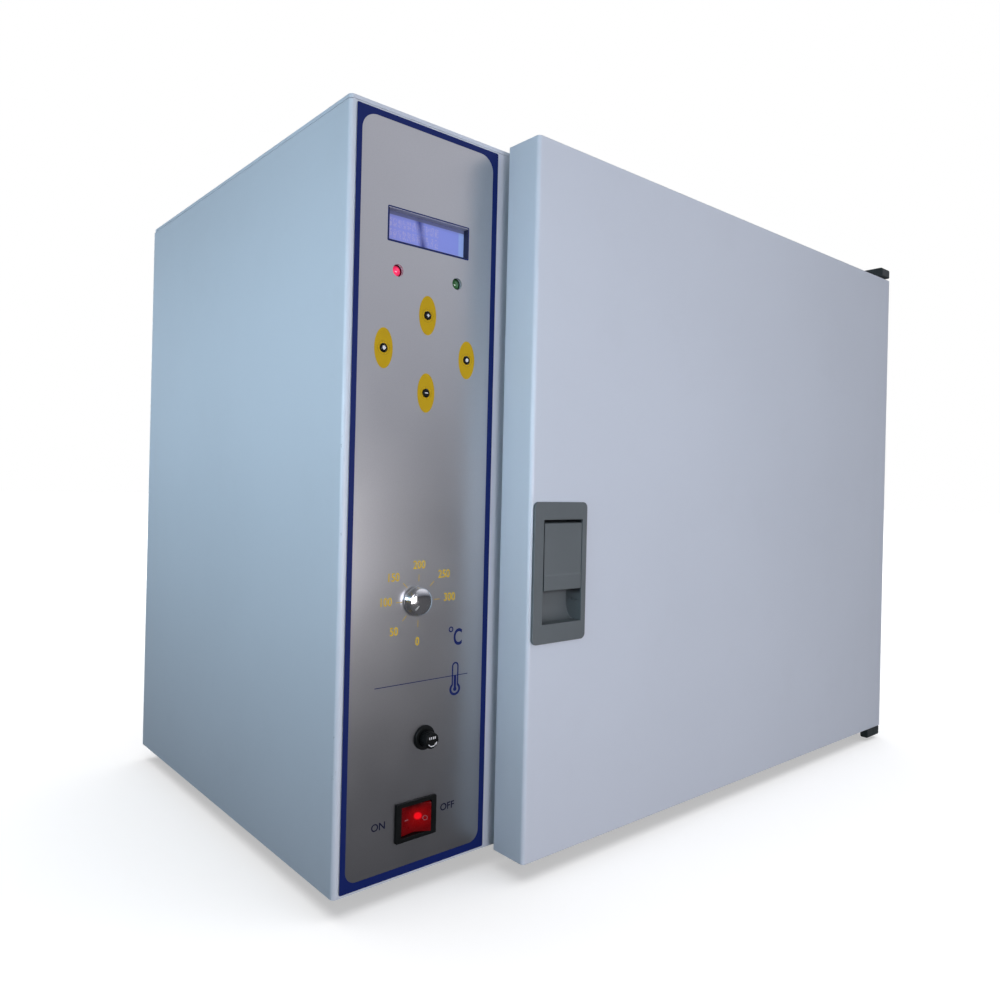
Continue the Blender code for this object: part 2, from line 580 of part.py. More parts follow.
lathe("fuse_holder_body", [(4.6, -3.0), (7.6, -3.0), (8.2, -2.4), (8.2, -1.1), (6.2, -1.1),
                           (6.2, 1.5), (8.8, 1.5), (8.8, 5.0), (6.2, 5.0), (6.2, 38),
                           (0, 38), (0, 36), (4.6, 36)], "Y", FUSE, "black_plastic", 20,
      ring=True)
carrier = lathe("fuse_carrier", [(2.9, -2.9), (4.2, -2.9), (4.2, 10.0), (2.9, 10.0)], "Y",
                FUSE, "black_plastic", 16, ring=True)
set_origin(carrier, FUSE[0], -3.0, FUSE[1])
cart = cyl("fuse_cartridge", 2.6, "Y", FUSE, -1.0, 19.0, "display_glass", 12)
set_origin(cart, FUSE[0], -3.0, FUSE[1])
cap = lathe("fuse_cap", [(0, -10.9), (4.8, -10.9), (5.45, -10.2), (5.45, -3.3), (0, -3.3)],
            "Y", FUSE, "black_plastic", 20)
set_origin(cap, FUSE[0], -3.0, FUSE[1])

sw = box("switch_housing", SW[0] - 16.1, SW[0] + 16.1, -3.0, -1.1, SW[1] - 12.9,
         SW[1] + 12.9, "black_plastic")
weld(sw, "black_plastic", box("c", SW[0] - 14.1, SW[0] + 14.1, -2.0, 26.0,
                              SW[1] - 10.8, SW[1] + 10.8))
carve(sw, "black_plastic", box("c", SW[0] - 11.9, SW[0] + 11.9, -5, 12.0,
                               SW[1] - 10.0, SW[1] + 10.0))
TILT = math.radians(-11.0)
neutral = [(-11.0, -3.3), (-5.5, -1.0), (0.0, 0.3), (5.5, -1.0), (11.0, -3.3), (11.3, 0.0),
           (9.0, 4.5), (3.0, 7.0), (-3.0, 7.0), (-9.0, 4.5), (-11.3, 0.0)]
pts = [(SW[0] + a * math.cos(TILT) - b * math.sin(TILT),
        a * math.sin(TILT) + b * math.cos(TILT)) for a, b in neutral]
rocker = prism("switch_rocker", pts, "XY", SW[1] - 9.6, SW[1] + 9.6, "rocker_red")
set_origin(rocker, SW[0], 0.0, SW[1])

# ------------------------------------------------------- services at the back
inlet = box("power_inlet", INLET[0] - 25, INLET[0] + 25, 374.3, 376.8, INLET[1] - 12,
            INLET[1] + 12, "black_plastic")
weld(inlet, "black_plastic", box("c", INLET[0] - 14, INLET[0] + 14, 352, 375.5,
                                 INLET[1] - 10, INLET[1] + 10))
carve(inlet, "black_plastic", box("c", INLET[0] - 12, INLET[0] + 12, 360, 380,
                                  INLET[1] - 8, INLET[1] + 8))
weld(inlet, "black_plastic",
     *[box("c", INLET[0] + dx - 1, INLET[0] + dx + 1, 359, 373.5, INLET[1] + dz - 2,
           INLET[1] + dz + 2) for dx, dz in ((0, 4.0), (-7, -2.0), (7, -2.0))])

fins = [(138.2, 200.0), (138.2, 262.0)]
for k in range(5):
    y = 262.0 - 15.0 * k
    fins += [(112.0, y), (112.0, y - 2.0), (132.0, y - 2.0), (132.0, y - 15.0)] if k < 4 \
        else [(112.0, y), (112.0, 200.0)]
prism("heater_relay", fins, "XY", 225.0, 270.0, "aluminium")
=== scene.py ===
"""Looks of a bench dry heat sterilizer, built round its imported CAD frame.

Working axes of the helpers, in millimetres: x from the cabinet's left side, y from
its front face towards the back, z from its underside upwards.
"""

import math

import bmesh
import bpy
from mathutils import Matrix, Vector


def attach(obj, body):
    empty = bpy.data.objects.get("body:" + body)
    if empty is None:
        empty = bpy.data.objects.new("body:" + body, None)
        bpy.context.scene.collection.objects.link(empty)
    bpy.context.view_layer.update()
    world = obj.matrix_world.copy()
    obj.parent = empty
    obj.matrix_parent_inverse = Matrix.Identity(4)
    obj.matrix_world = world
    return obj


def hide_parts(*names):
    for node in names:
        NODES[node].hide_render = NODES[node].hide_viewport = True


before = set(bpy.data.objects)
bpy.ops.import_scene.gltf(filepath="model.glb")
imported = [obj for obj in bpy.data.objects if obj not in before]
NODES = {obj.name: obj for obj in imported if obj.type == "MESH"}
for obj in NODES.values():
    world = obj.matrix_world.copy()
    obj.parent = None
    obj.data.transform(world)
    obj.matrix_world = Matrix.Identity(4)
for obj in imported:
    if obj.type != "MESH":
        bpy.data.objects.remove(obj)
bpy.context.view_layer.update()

# ---------------------------------------------------------------- dimensions
W, H, D, T, BEND = 670.0, 500.0, 374.0, 1.2, 3.0
YC = 0.5 * (-40.6 + 382.0)
CH_X0, CH_X1, CH_Z0, CH_Z1 = 195.0, 625.0, 70.0, 420.0
DR_X0, DR_X1, DR_YF, DR_YR = 124.3, 669.5, -38.2, -7.2
HG_X, HG_Y = 658.8, -22.5
OV_X0, OV_X1, OV_Z0, OV_Z1 = 4.4, 119.4, 2.0, 495.8
LCD_X0, LCD_X1, LCD_Z0, LCD_Z1 = 29.2, 93.8, 415.4, 436.6
LED_RED, LED_GREEN, LED_HOLE_R = (37.0, 396.8), (85.1, 396.8), 4.0
KEYS = {"plus": (61.2, 371.3), "minus": (61.2, 319.7),
        "left": (27.4, 345.5), "right": (94.8, 345.5)}
KEY_HOLE_R = 3.0
KNOB = (57.3, 181.5)
FUSE = (66.0, 89.5)
SW = (60.4, 36.6)
LT_X0, LT_X1, LT_Z0, LT_Z1 = 126.4, 178.2, 150.3, 248.7
LW_X0, LW_X1, LW_Z0, LW_Z1 = 135.2, 173.6, 163.6, 236.2
LT_CX = 154.0
PADDLE_Y, PADDLE_Z = -34.4, 231.0
VENT, VENT_PIVOT, INLET = (540.0, 390.0), (566.0, 390.0), (70.0, 60.0)
FEET = {"front_left": (60.0, 60.0), "front_right": (610.0, 60.0),
        "rear_left": (60.0, 314.0), "rear_right": (610.0, 314.0)}


def P(x, y, z):
    return Vector(((x - 0.5 * W) / 1000.0, (y - YC) / 1000.0, (z + 14.0) / 1000.0))


# -------------------------------------------------------------------- camera
cam_data = bpy.data.cameras.new("camera")
cam_data.sensor_width = 36.0
cam_data.lens = 28.70
cam_data.shift_x = 0.001
cam_data.shift_y = -0.0143
cam_data.clip_start, cam_data.clip_end = 0.02, 60.0
camera = bpy.data.objects.new("camera", cam_data)
bpy.context.scene.collection.objects.link(camera)
right = Vector((0.75854, -0.6512, 0.02339))
up = Vector((-0.01813, 0.01479, 0.99973))
back = Vector((-0.65137, -0.75876, -0.00059))
camera.matrix_world = Matrix((
    (right.x, up.x, back.x, -0.5818),
    (right.y, up.y, back.y, -0.6073),
    (right.z, up.z, back.z, 0.2728),
    (0, 0, 0, 1)))
bpy.context.scene.camera = camera


# ----------------------------------------------------------- material helpers
class Look:
    """A node material under construction, with patterns placed in millimetres."""

    def __init__(self, name):
        self.mat = bpy.data.materials.new(name)
        self.mat.use_nodes = True
        self.nt = self.mat.node_tree
        self.nt.nodes.clear()
        self.out = self.node("ShaderNodeOutputMaterial")
        self.bsdf = self.node("ShaderNodeBsdfPrincipled")
        self.link(self.bsdf.outputs[0], self.out.inputs[0])
        self.co = self.node("ShaderNodeTexCoord")
        self.axes = None

    def node(self, kind):
        return self.nt.nodes.new(kind)

    def link(self, a, b):
        self.nt.links.new(a, b)

    def set(self, **values):
        for key, value in values.items():
            self.bsdf.inputs[key.replace("_", " ")].default_value = value

    def noise(self, size, stretch=(1, 1, 1), detail=3.0, rough=0.5, distort=0.0):
        """size is the pattern's grain in millimetres."""
        mp = self.node("ShaderNodeMapping")
        mp.inputs["Scale"].default_value = stretch
        self.link(self.co.outputs["Object"], mp.inputs["Vector"])
        n = self.node("ShaderNodeTexNoise")
        n.inputs["Scale"].default_value = 1000.0 / size
        n.inputs["Detail"].default_value = detail
        n.inputs["Roughness"].default_value = rough
        n.inputs["Distortion"].default_value = distort
        self.link(mp.outputs[0], n.inputs["Vector"])
        return n.outputs["Fac"]

    def cells(self, size, feature="F1", output="Distance"):
        v = self.node("ShaderNodeTexVoronoi")
        v.feature = feature
        v.inputs["Scale"].default_value = 1000.0 / size
        self.link(self.co.outputs["Object"], v.inputs["Vector"])
        return v.outputs[output]

    def axis(self, which):
        """A coordinate in working millimetres."""
        if self.axes is None:
            s = self.node("ShaderNodeSeparateXYZ")
            self.link(self.co.outputs["Object"], s.inputs[0])
            self.axes = s.outputs
        scale, shift = {"x": (1000.0, 0.5 * W), "y": (1000.0, YC), "z": (1000.0, -14.0)}[which]
        return self.math("MULTIPLY_ADD", self.axes["XYZ".index(which.upper())], scale, shift)

    def math(self, op, a, b=None, c=None, clamp=False):
        m = self.node("ShaderNodeMath")
        m.operation = op
        m.use_clamp = clamp
        for i, v in enumerate((a, b, c)):
            if v is None:
                continue
            if isinstance(v, (int, float)):
                m.inputs[i].default_value = v
            else:
                self.link(v, m.inputs[i])
        return m.outputs[0]

    def spread(self, value, lo, hi, a=0.0, b=1.0, smooth=False):
        r = self.node("ShaderNodeMapRange")
        if smooth:
            r.interpolation_type = "SMOOTHSTEP"
        self.link(value, r.inputs["Value"])
        r.inputs["From Min"].default_value = lo
        r.inputs["From Max"].default_value = hi
        r.inputs["To Min"].default_value = a
        r.inputs["To Max"].default_value = b
        return r.outputs["Result"]

    def mix(self, fac, a, b):
        m = self.node("ShaderNodeMix")
        m.data_type = "RGBA"
        if isinstance(fac, (int, float)):
            m.inputs[0].default_value = fac
        else:
            self.link(fac, m.inputs[0])
        for i, v in ((6, a), (7, b)):
            if isinstance(v, tuple):
                m.inputs[i].default_value = (*v[:3], 1.0)
            else:
                self.link(v, m.inputs[i])
        return m.outputs[2]

    def colour(self, value):
        self.link(value, self.bsdf.inputs["Base Color"])

    def rough(self, value):
        self.link(value, self.bsdf.inputs["Roughness"])

    def bump(self, height, distance, strength=1.0):
        """distance is the relief's depth in millimetres; calls add up."""
        b = self.node("ShaderNodeBump")
        b.inputs["Distance"].default_value = distance / 1000.0
        b.inputs["Strength"].default_value = strength
        self.link(height, b.inputs["Height"])
        used = self.bsdf.inputs["Normal"].links
        if used:
            self.link(used[0].from_socket, b.inputs["Normal"])
        self.link(b.outputs[0], self.bsdf.inputs["Normal"])


def tone(c, k):
    return tuple(min(1.0, v * k) for v in c[:3])


def plain(name, colour, rough, metal=0.0, blotch=(90.0, 0.04), patchy=(25.0, 0.05),
          relief=((3.0, 0.02),), **extra):
    """A finish with gentle variation of colour and gloss and one or more reliefs,
    each (grain, depth) in millimetres."""
    k = Look(name)
    k.set(Metallic=metal, **extra)
    k.colour(k.mix(k.spread(k.noise(blotch[0]), 0.3, 0.7), tone(colour, 1 - blotch[1]),
                   tone(colour, 1 + blotch[1])))
    k.rough(k.spread(k.noise(patchy[0]), 0.3, 0.7, rough - patchy[1], rough + patchy[1]))
    for size, depth in relief:
        k.bump(k.noise(size, detail=2.0), depth)
    return k


def brushed(name, colour, rough, along="x", grain=0.5, depth=0.004, tint=None):
    """Metal sheet with a brushed grain along one axis."""
    k = Look(name)
    k.set(Metallic=0.70)
    stretch = {"x": (0.012, 1, 1), "y": (1, 0.012, 1), "z": (1, 1, 0.012)}[along]
    lines = k.noise(grain, stretch, detail=4.0, rough=0.6)
    broad = k.noise(140.0, detail=2.0)
    base = k.mix(k.spread(lines, 0.35, 0.65), tone(colour, 0.90), tone(colour, 1.08))
    if tint:
        base = k.mix(k.spread(broad, 0.42, 0.72, 0.0, 0.55), base, tint)
    k.colour(base)
    k.rough(k.math("ADD", k.spread(lines, 0.3, 0.7, rough - 0.04, rough + 0.06),
                   k.spread(broad, 0.3, 0.7, -0.02, 0.05)))
    k.bump(lines, depth)
    k.bump(k.noise(60.0, detail=1.0), 0.05)
    return k


M = {}

PAINT = (0.660, 0.705, 0.775)


def paint(name, chips=False):
    k = Look(name)
    k.set(Specular_IOR_Level=0.5)
    base = k.mix(k.spread(k.noise(160.0, detail=2.0), 0.3, 0.7), tone(PAINT, 0.985),
                 tone(PAINT, 1.015))
    grime = k.spread(k.noise(45.0, detail=6.0, rough=0.62), 0.55, 0.80, 0.0, 0.05)
    base = k.mix(grime, base, (0.40, 0.40, 0.42))
    rough = k.spread(k.noise(35.0), 0.3, 0.7, 0.30, 0.38)
    if chips:
        # small scuffs on the bend at the front left edge
        x, z = k.axis("x"), k.axis("z")
        band = k.math("MULTIPLY", k.spread(x, 0.1, 1.4, 1.0, 0.0),
                      k.spread(k.axis("y"), 1.0, 4.5, 1.0, 0.0))
        spots = k.spread(k.noise(3.2, (1, 1, 0.45), detail=4.0, rough=0.7), 0.635, 0.66)
        few = k.spread(k.noise(60.0, detail=1.0), 0.50, 0.58)
        worn = k.math("MULTIPLY", k.math("MULTIPLY", spots, few), band, clamp=True)
        base = k.mix(k.math("MULTIPLY", worn, 0.8), base, (0.17, 0.18, 0.21))
        k.bump(k.math("MULTIPLY", worn, -1.0), 0.06)
    k.colour(base)
    k.rough(rough)
    k.bump(k.noise(2.6, detail=1.5), 0.006)
    k.bump(k.noise(14.0, detail=1.0), 0.018)
    return k.mat


M["paint"] = paint("cabinet_paint")
M["paint_casing"] = paint("casing_paint", chips=True)

k = Look("panel_film")
k.set(Metallic=0.92)
fleck = k.noise(0.6, detail=1.0)
grain = k.mix(k.spread(fleck, 0.35, 0.65), (0.478, 0.482, 0.500), (0.500, 0.504, 0.522))
# painted shade: the film's colour darkens towards its bottom, standing in for the dark floor it
# mirrors
k.colour(k.mix(k.spread(k.axis("z"), 20.0, 300.0, 0.34, 0.0, smooth=True), grain,
               (0.10, 0.10, 0.10)))
k.rough(k.spread(k.noise(30.0), 0.3, 0.7, 0.285, 0.315))
k.bump(k.noise(60.0, detail=1.0), 0.03)
M["film"] = k.mat

INK = {"Specular_IOR_Level": 0.16}
M["navy"] = plain("navy_ink", (0.006, 0.017, 0.125), 0.45, relief=((0.5, 0.002), (26.0, 0.03)),
                  **INK).mat
M["ink_dark"] = plain("dark_ink", (0.007, 0.009, 0.038), 0.48, relief=((0.5, 0.002),), **INK).mat
M["mustard"] = plain("mustard_ink", (0.560, 0.350, 0.004), 0.48, relief=((0.5, 0.002),), **INK).mat
M["mustard_line"] = plain("mustard_line_ink", (0.46, 0.29, 0.006), 0.48, relief=((0.5, 0.002),),
                          **INK).mat
M["yellow"] = plain("yellow_ink", (0.740, 0.500, 0.020), 0.48, relief=((0.5, 0.002),), **INK).mat
M["white"] = plain("white_print", (0.78, 0.78, 0.78), 0.45, relief=((0.4, 0.002),)).mat

M["rocker_ink"] = plain("rocker_ink", (0.34, 0.13, 0.14), 0.5, relief=((0.4, 0.002),), **INK).mat
# pale colour of the knob's indicator line, a painted glint
M["pointer"] = plain("pointer_painted_glint", (0.46, 0.46, 0.44), 0.40, relief=((0.4, 0.002),)).mat

k = plain("display_recess", (0.30, 0.30, 0.34), 0.5, relief=((0.6, 0.010),))
k.colour(k.mix(k.spread(k.axis("z"), LCD_Z1 - 0.62, LCD_Z1 - 0.56, 0.0, 1.0), (0.008, 0.011, 0.040),
               (0.40, 0.40, 0.46)))
M["recess"] = k.mat

M["black"] = plain("black_plastic", (0.005, 0.006, 0.006), 0.42, patchy=(8.0, 0.06),
                   relief=((0.45, 0.006), (18.0, 0.04)), Specular_IOR_Level=0.16).mat
M["black_matt"] = plain("black_matt_plastic", (0.016, 0.016, 0.017), 0.55, patchy=(8.0, 0.06),
                        relief=((0.6, 0.016),)).mat
M["latch"] = plain("latch_plastic", (0.128, 0.145, 0.150), 0.46, blotch=(40.0, 0.05),
                   patchy=(14.0, 0.05), relief=((0.5, 0.014), (22.0, 0.05))).mat

# painted shadow: the housing's scoop is painted dark just below the paddle, standing in for the
# shadow the paddle casts there
k = plain("latch_housing_plastic_painted_shadow", (0.128, 0.145, 0.150), 0.46, blotch=(40.0, 0.05),
          patchy=(14.0, 0.05), relief=((0.5, 0.014), (22.0, 0.05)))
shade = k.math("MULTIPLY", k.spread(k.axis("y"), -39.6, -38.6, 0.0, 1.0),
               k.spread(k.axis("z"), 181.8, 185.6, 0.0, 0.86, smooth=True))
k.colour(k.mix(shade, k.bsdf.inputs["Base Color"].links[0].from_socket, (0.006, 0.007, 0.008)))
M["latch_housing"] = k.mat

M["rubber"] = plain("foot_rubber", (0.022, 0.022, 0.023), 0.74, blotch=(12.0, 0.18),
                    relief=((0.9, 0.03), (7.0, 0.05))).mat
M["silicone"] = plain("gasket_silicone", (0.40, 0.135, 0.085), 0.55, blotch=(40.0, 0.10),
                      relief=((1.2, 0.02), (12.0, 0.06))).mat
M["hinge"] = plain("hinge_black", (0.034, 0.042, 0.042), 0.42, blotch=(10.0, 0.20),
                   patchy=(5.0, 0.08), relief=((1.4, 0.05), (6.0, 0.06))).mat
M["ceramic"] = plain("ceramic_body", (0.66, 0.62, 0.54), 0.45, relief=((2.0, 0.03),)).mat
M["aluminium"] = plain("cast_aluminium", (0.60, 0.61, 0.62), 0.42, 1.0, blotch=(20.0, 0.06),
                       relief=((1.0, 0.03),)).mat
M["bronze"] = plain("bush_bronze", (0.42, 0.25, 0.11), 0.40, 1.0, blotch=(3.0, 0.15),
                    relief=((0.4, 0.010),)).mat
M["zinc_screw"] = plain("zinc_screw", (0.56, 0.57, 0.58), 0.28, 1.0, blotch=(2.0, 0.10),
                        patchy=(2.0, 0.08), relief=((0.4, 0.006),)).mat
M["black_screw"] = plain("black_screw", (0.045, 0.048, 0.050), 0.35, 0.6, blotch=(2.0, 0.15),
                         patchy=(2.0, 0.08), relief=((0.4, 0.006),)).mat

M["stainless_x"] = brushed("stainless_along_x", (0.68, 0.68, 0.67), 0.34, "x").mat
M["stainless_y"] = brushed("stainless_along_y", (0.66, 0.66, 0.65), 0.36, "y",
                           tint=(0.50, 0.44, 0.34)).mat
M["stainless_z"] = brushed("stainless_along_z", (0.68, 0.68, 0.67), 0.34, "z").mat
M["sheath"] = brushed("heater_sheath", (0.26, 0.235, 0.215), 0.42, "x", 0.8, 0.006,
                      tint=(0.20, 0.16, 0.20)).mat
M["pin"] = brushed("turned_steel", (0.52, 0.52, 0.52), 0.26, "z", 0.3, 0.004).mat

k = Look("galvanised_sheet")
k.set(Metallic=1.0)
spangle = k.cells(9.0, output="Color")
grey = k.node("ShaderNodeRGBToBW")
k.link(spangle, grey.inputs[0])
k.colour(k.mix(grey.outputs[0], (0.46, 0.48, 0.50), (0.62, 0.64, 0.66)))
k.rough(k.spread(grey.outputs[0], 0.0, 1.0, 0.34, 0.50))
k.bump(k.noise(1.5), 0.01)
M["galvanised"] = k.mat

k = Look("mineral_wool")
k.set(Sheen_Weight=0.2, Sheen_Roughness=0.6)
strands = k.noise(2.2, (0.25, 1, 1), detail=6.0, rough=0.7, distort=1.2)
k.colour(k.mix(k.spread(strands, 0.3, 0.7), (0.40, 0.33, 0.16), (0.66, 0.59, 0.38)))
k.rough(k.spread(strands, 0.3, 0.7, 0.85, 0.98))
k.bump(strands, 0.8)
M["wool"] = k.mat

k = Look("circuit_board")
tracks = k.node("ShaderNodeTexBrick")
tracks.inputs["Scale"].default_value = 90.0
tracks.inputs["Mortar Size"].default_value = 0.05
tracks.inputs["Color1"].default_value = (0.010, 0.095, 0.035, 1)
tracks.inputs["Color2"].default_value = (0.014, 0.120, 0.045, 1)
tracks.inputs["Mortar"].default_value = (0.030, 0.200, 0.080, 1)
spin = k.node("ShaderNodeMapping")
spin.inputs["Rotation"].default_value = (math.radians(90), 0, 0)
k.link(k.co.outputs["Object"], spin.inputs[0])
k.link(spin.outputs[0], tracks.inputs["Vector"])
k.colour(tracks.outputs["Color"])
k.rough(k.spread(k.noise(10.0), 0.3, 0.7, 0.35, 0.45))
k.bump(tracks.outputs["Fac"], 0.04)
M["board"] = k.mat

k = Look("knob_chrome")
k.set(Metallic=1.0)
swirl = k.noise(0.8, detail=3.0)
k.colour(k.mix(k.spread(swirl, 0.3, 0.7), (0.76, 0.76, 0.77), (0.84, 0.84, 0.85)))
k.rough(k.spread(k.noise(3.0), 0.3, 0.7, 0.07, 0.13))
k.bump(swirl, 0.0012)
M["chrome"] = k.mat

k = Look("clear_glass")
k.set(Transmission_Weight=1.0, IOR=1.5)
k.colour(k.mix(k.spread(k.noise(2.0), 0.3, 0.7), (0.86, 0.90, 0.89), (0.92, 0.95, 0.94)))
k.rough(k.spread(k.noise(2.0), 0.3, 0.7, 0.02, 0.06))
k.bump(k.noise(1.5), 0.002)
M["glass"] = k.mat

# Backlit display: two rows of faint cells made of small dots, a darker streak, and
# a lighter right edge.
k = Look("display_screen")
k.set(Specular_IOR_Level=0.5)
x, z = k.axis("x"), k.axis("z")
u = k.math("DIVIDE", k.math("SUBTRACT", x, LCD_X0 + 2.6), 3.72)
v = k.math("DIVIDE", k.math("SUBTRACT", z, LCD_Z0 + 3.6), 7.2)
fu, fv = k.math("FRACT", u), k.math("FRACT", v)
in_cell = k.math("MULTIPLY", k.math("LESS_THAN", fu, 0.80), k.math("LESS_THAN", fv, 0.80))
du, dv = k.math("MULTIPLY", u, 6.25), k.math("MULTIPLY", v, 10.0)
combo = k.node("ShaderNodeCombineXYZ")
k.link(k.math("FLOOR", du), combo.inputs[0])
k.link(k.math("FLOOR", dv), combo.inputs[1])
grainy = k.node("ShaderNodeTexWhiteNoise")
grainy.noise_dimensions = "3D"
k.link(combo.outputs[0], grainy.inputs["Vector"])
lit = k.math("GREATER_THAN", grainy.outputs["Value"], 0.52)
rows = k.math("MULTIPLY", k.math("GREATER_THAN", v, 0.0), k.math("LESS_THAN", v, 1.9))
used = k.math("MULTIPLY", k.math("GREATER_THAN", u, 0.0), k.math("LESS_THAN", u, 11.0))
marks = k.math("MULTIPLY", k.math("MULTIPLY", in_cell, lit), k.math("MULTIPLY", rows, used))
cell = k.math("MULTIPLY", in_cell, k.math("MULTIPLY", rows, used))
sx = k.math("ADD", x, k.math("MULTIPLY", k.math("SUBTRACT", z, 426.0), 0.22))
streak = k.math("SUBTRACT", 1.0, k.math("ABSOLUTE", k.math("DIVIDE", k.math(
    "SUBTRACT", sx, LCD_X0 + 0.445 * (LCD_X1 - LCD_X0)), 4.2)), clamp=True)
ends = k.spread(k.math("ABSOLUTE", k.math("SUBTRACT", z, 425.6)), 0.0, 7.5, 0.62, 1.0)
glow = k.mix(k.spread(x, LCD_X0, LCD_X1, 0.0, 1.0), (0.262, 0.290, 0.790), (0.235, 0.300, 0.830))
glow = k.mix(k.spread(x, LCD_X1 - 5.2, LCD_X1 - 3.6, 0.0, 0.55, smooth=True), glow,
             (0.42, 0.62, 1.0))
glow = k.mix(k.spread(z, LCD_Z1 - 5.0, LCD_Z1 - 3.0, 0.0, 0.25, smooth=True), glow,
             (0.10, 0.12, 0.36))
glow = k.mix(k.math("MULTIPLY", cell, 0.08), glow, (0.36, 0.34, 0.70))
glow = k.mix(k.math("MULTIPLY", marks, 0.26), glow, (0.66, 0.58, 0.72))
glow = k.mix(k.math("MULTIPLY", k.math("MULTIPLY", k.math("POWER", streak, 1.0), ends), 1.0),
             glow, (0.012, 0.020, 0.20))
frame_top = k.spread(z, LCD_Z1 - 2.9, LCD_Z1 - 2.6, 0.0, 0.9, smooth=True)
glow = k.mix(frame_top, glow, (0.115, 0.120, 0.190))
k.link(glow, k.bsdf.inputs["Emission Color"])
k.set(Emission_Strength=0.47)
k.colour(k.mix(0.35, (0.02, 0.03, 0.10), glow))
k.rough(k.spread(k.noise(20.0), 0.3, 0.7, 0.10, 0.16))
k.bump(k.noise(0.6), 0.001)
M["screen"] = k.mat


def lamp(name, colour, glow, strength, centre, r):
    """Moulded lamp body whose glow fades from a point inside the dome."""
    k = Look(name)
    k.set(Specular_IOR_Level=0.6, Coat_Weight=0.4, Coat_Roughness=0.08)
    dx = k.math("SUBTRACT", k.axis("x"), centre[0])
    dz = k.math("SUBTRACT", k.axis("z"), centre[1])
    d = k.math("SQRT", k.math("ADD", k.math("MULTIPLY", dx, dx), k.math("MULTIPLY", dz, dz)))
    hot = k.spread(d, 0.0, r, 1.0, 0.0, smooth=True)
    k.link(k.mix(hot, tone(glow, 0.25), glow), k.bsdf.inputs["Emission Color"])
    k.set(Emission_Strength=strength)
    k.colour(k.mix(k.spread(k.noise(1.5), 0.3, 0.7), tone(colour, 0.85), tone(colour, 1.15)))
    k.rough(k.spread(k.noise(1.0), 0.3, 0.7, 0.12, 0.20))
    k.bump(k.noise(0.5), 0.002)
    return k.mat


M["led_red"] = lamp("led_red", (0.50, 0.01, 0.05), (1.0, 0.040, 0.150), 0.95,
                    (LED_RED[0] - 1.1, LED_RED[1] - 0.9), 5.0)
M["led_green"] = lamp("led_green", (0.026, 0.115, 0.036), (0.16, 0.42, 0.15), 0.16,
                      (LED_GREEN[0] - 0.2, LED_GREEN[1] - 0.8), 2.2)

# The lit rocker: a small bright spot over its lamp, a dim red wash round it, a painted
# shadow of the frame's upper edge on the face's dipped middle, which darkens both glow and
# colour there, and a glow that is darker towards the bottom.
k = Look("rocker_lens")
k.set(Specular_IOR_Level=0.20)
x, z = k.axis("x"), k.axis("z")
dx = k.math("SUBTRACT", x, SW[0] + 2.2)
dz = k.math("SUBTRACT", z, SW[1] + 1.0)
d = k.math("SQRT", k.math("ADD", k.math("MULTIPLY", dx, dx), k.math("MULTIPLY", dz, dz)))
spot = k.spread(d, 1.5, 3.1, 1.0, 0.0, smooth=True)
wash = k.spread(d, 2.0, 11.5, 1.0, 0.0, smooth=True)
# painted shadow of the frame's upper edge on the face's dipped middle
dim = k.math("MULTIPLY", k.spread(z, SW[1] + 4.5, SW[1] + 9.6, 0.0, 1.0, smooth=True),
             k.spread(k.math("ABSOLUTE", k.math("SUBTRACT", x, SW[0] - 1.0)), 2.0, 10.0, 1.0, 0.0,
                      smooth=True))
low = k.spread(z, SW[1] - 9.6, SW[1] - 4.0, 0.35, 0.0, smooth=True)
glow = k.mix(wash, (0.055, 0.0002, 0.0008), (0.170, 0.0005, 0.0010))
glow = k.mix(k.math("MAXIMUM", dim, low), glow, (0.020, 0.0001, 0.0004))
glow = k.mix(spot, glow, (0.98, 0.004, 0.012))
k.link(glow, k.bsdf.inputs["Emission Color"])
k.set(Emission_Strength=0.85)
lens = k.mix(k.spread(k.noise(6.0), 0.3, 0.7), (0.080, 0.0006, 0.0012), (0.105, 0.0008, 0.0016))
# the same painted shadow also darkens the lens colour
k.colour(k.mix(k.math("MULTIPLY", dim, 0.9), lens, (0.006, 0.0003, 0.0004)))
k.rough(k.spread(k.noise(4.0), 0.3, 0.7, 0.22, 0.34))
k.bump(k.noise(0.5), 0.003)
M["rocker"] = k.mat

# ------------------------------------------------------------- shape helpers


def to_object(bm, name):
    bmesh.ops.recalc_face_normals(bm, faces=bm.faces)
    me = bpy.data.meshes.new(name)
    bm.to_mesh(me)
    bm.free()
    ob = bpy.data.objects.new(name, me)
    bpy.context.scene.collection.objects.link(ob)
    return ob


def prism(name, pts, plane, lo, hi):
    put = {"XZ": lambda a, b, c: P(a, c, b),
           "YZ": lambda a, b, c: P(c, a, b),
           "XY": lambda a, b, c: P(a, b, c)}[plane]
    bm = bmesh.new()
    low = [bm.verts.new(put(a, b, lo)) for a, b in pts]
    high = [bm.verts.new(put(a, b, hi)) for a, b in pts]
    bm.faces.new(low)
    bm.faces.new(list(reversed(high)))
    n = len(pts)
    for i in range(n):
        j = (i + 1) % n
        bm.faces.new((low[j], low[i], high[i], high[j]))
    return to_object(bm, name)


def box(name, x0, x1, y0, y1, z0, z1):
    return prism(name, [(x0, y0), (x1, y0), (x1, y1), (x0, y1)], "XY", z0, z1)


def arc(cx, cy, r, a0, a1, n, ry=None):
    ry = r if ry is None else ry
    return [(cx + r * math.cos(math.radians(a0 + (a1 - a0) * i / n)),
             cy + ry * math.sin(math.radians(a0 + (a1 - a0) * i / n)))
            for i in range(n + 1)]


def rounded(x0, x1, y0, y1, r, n=6, low_r=None):
    q = r if low_r is None else low_r
    return arc(x1 - r, y1 - r, r, 0, 90, n) + arc(x0 + r, y1 - r, r, 90, 180, n) + \
        arc(x0 + q, y0 + q, q, 180, 270, n) + arc(x1 - q, y0 + q, q, 270, 360, n)


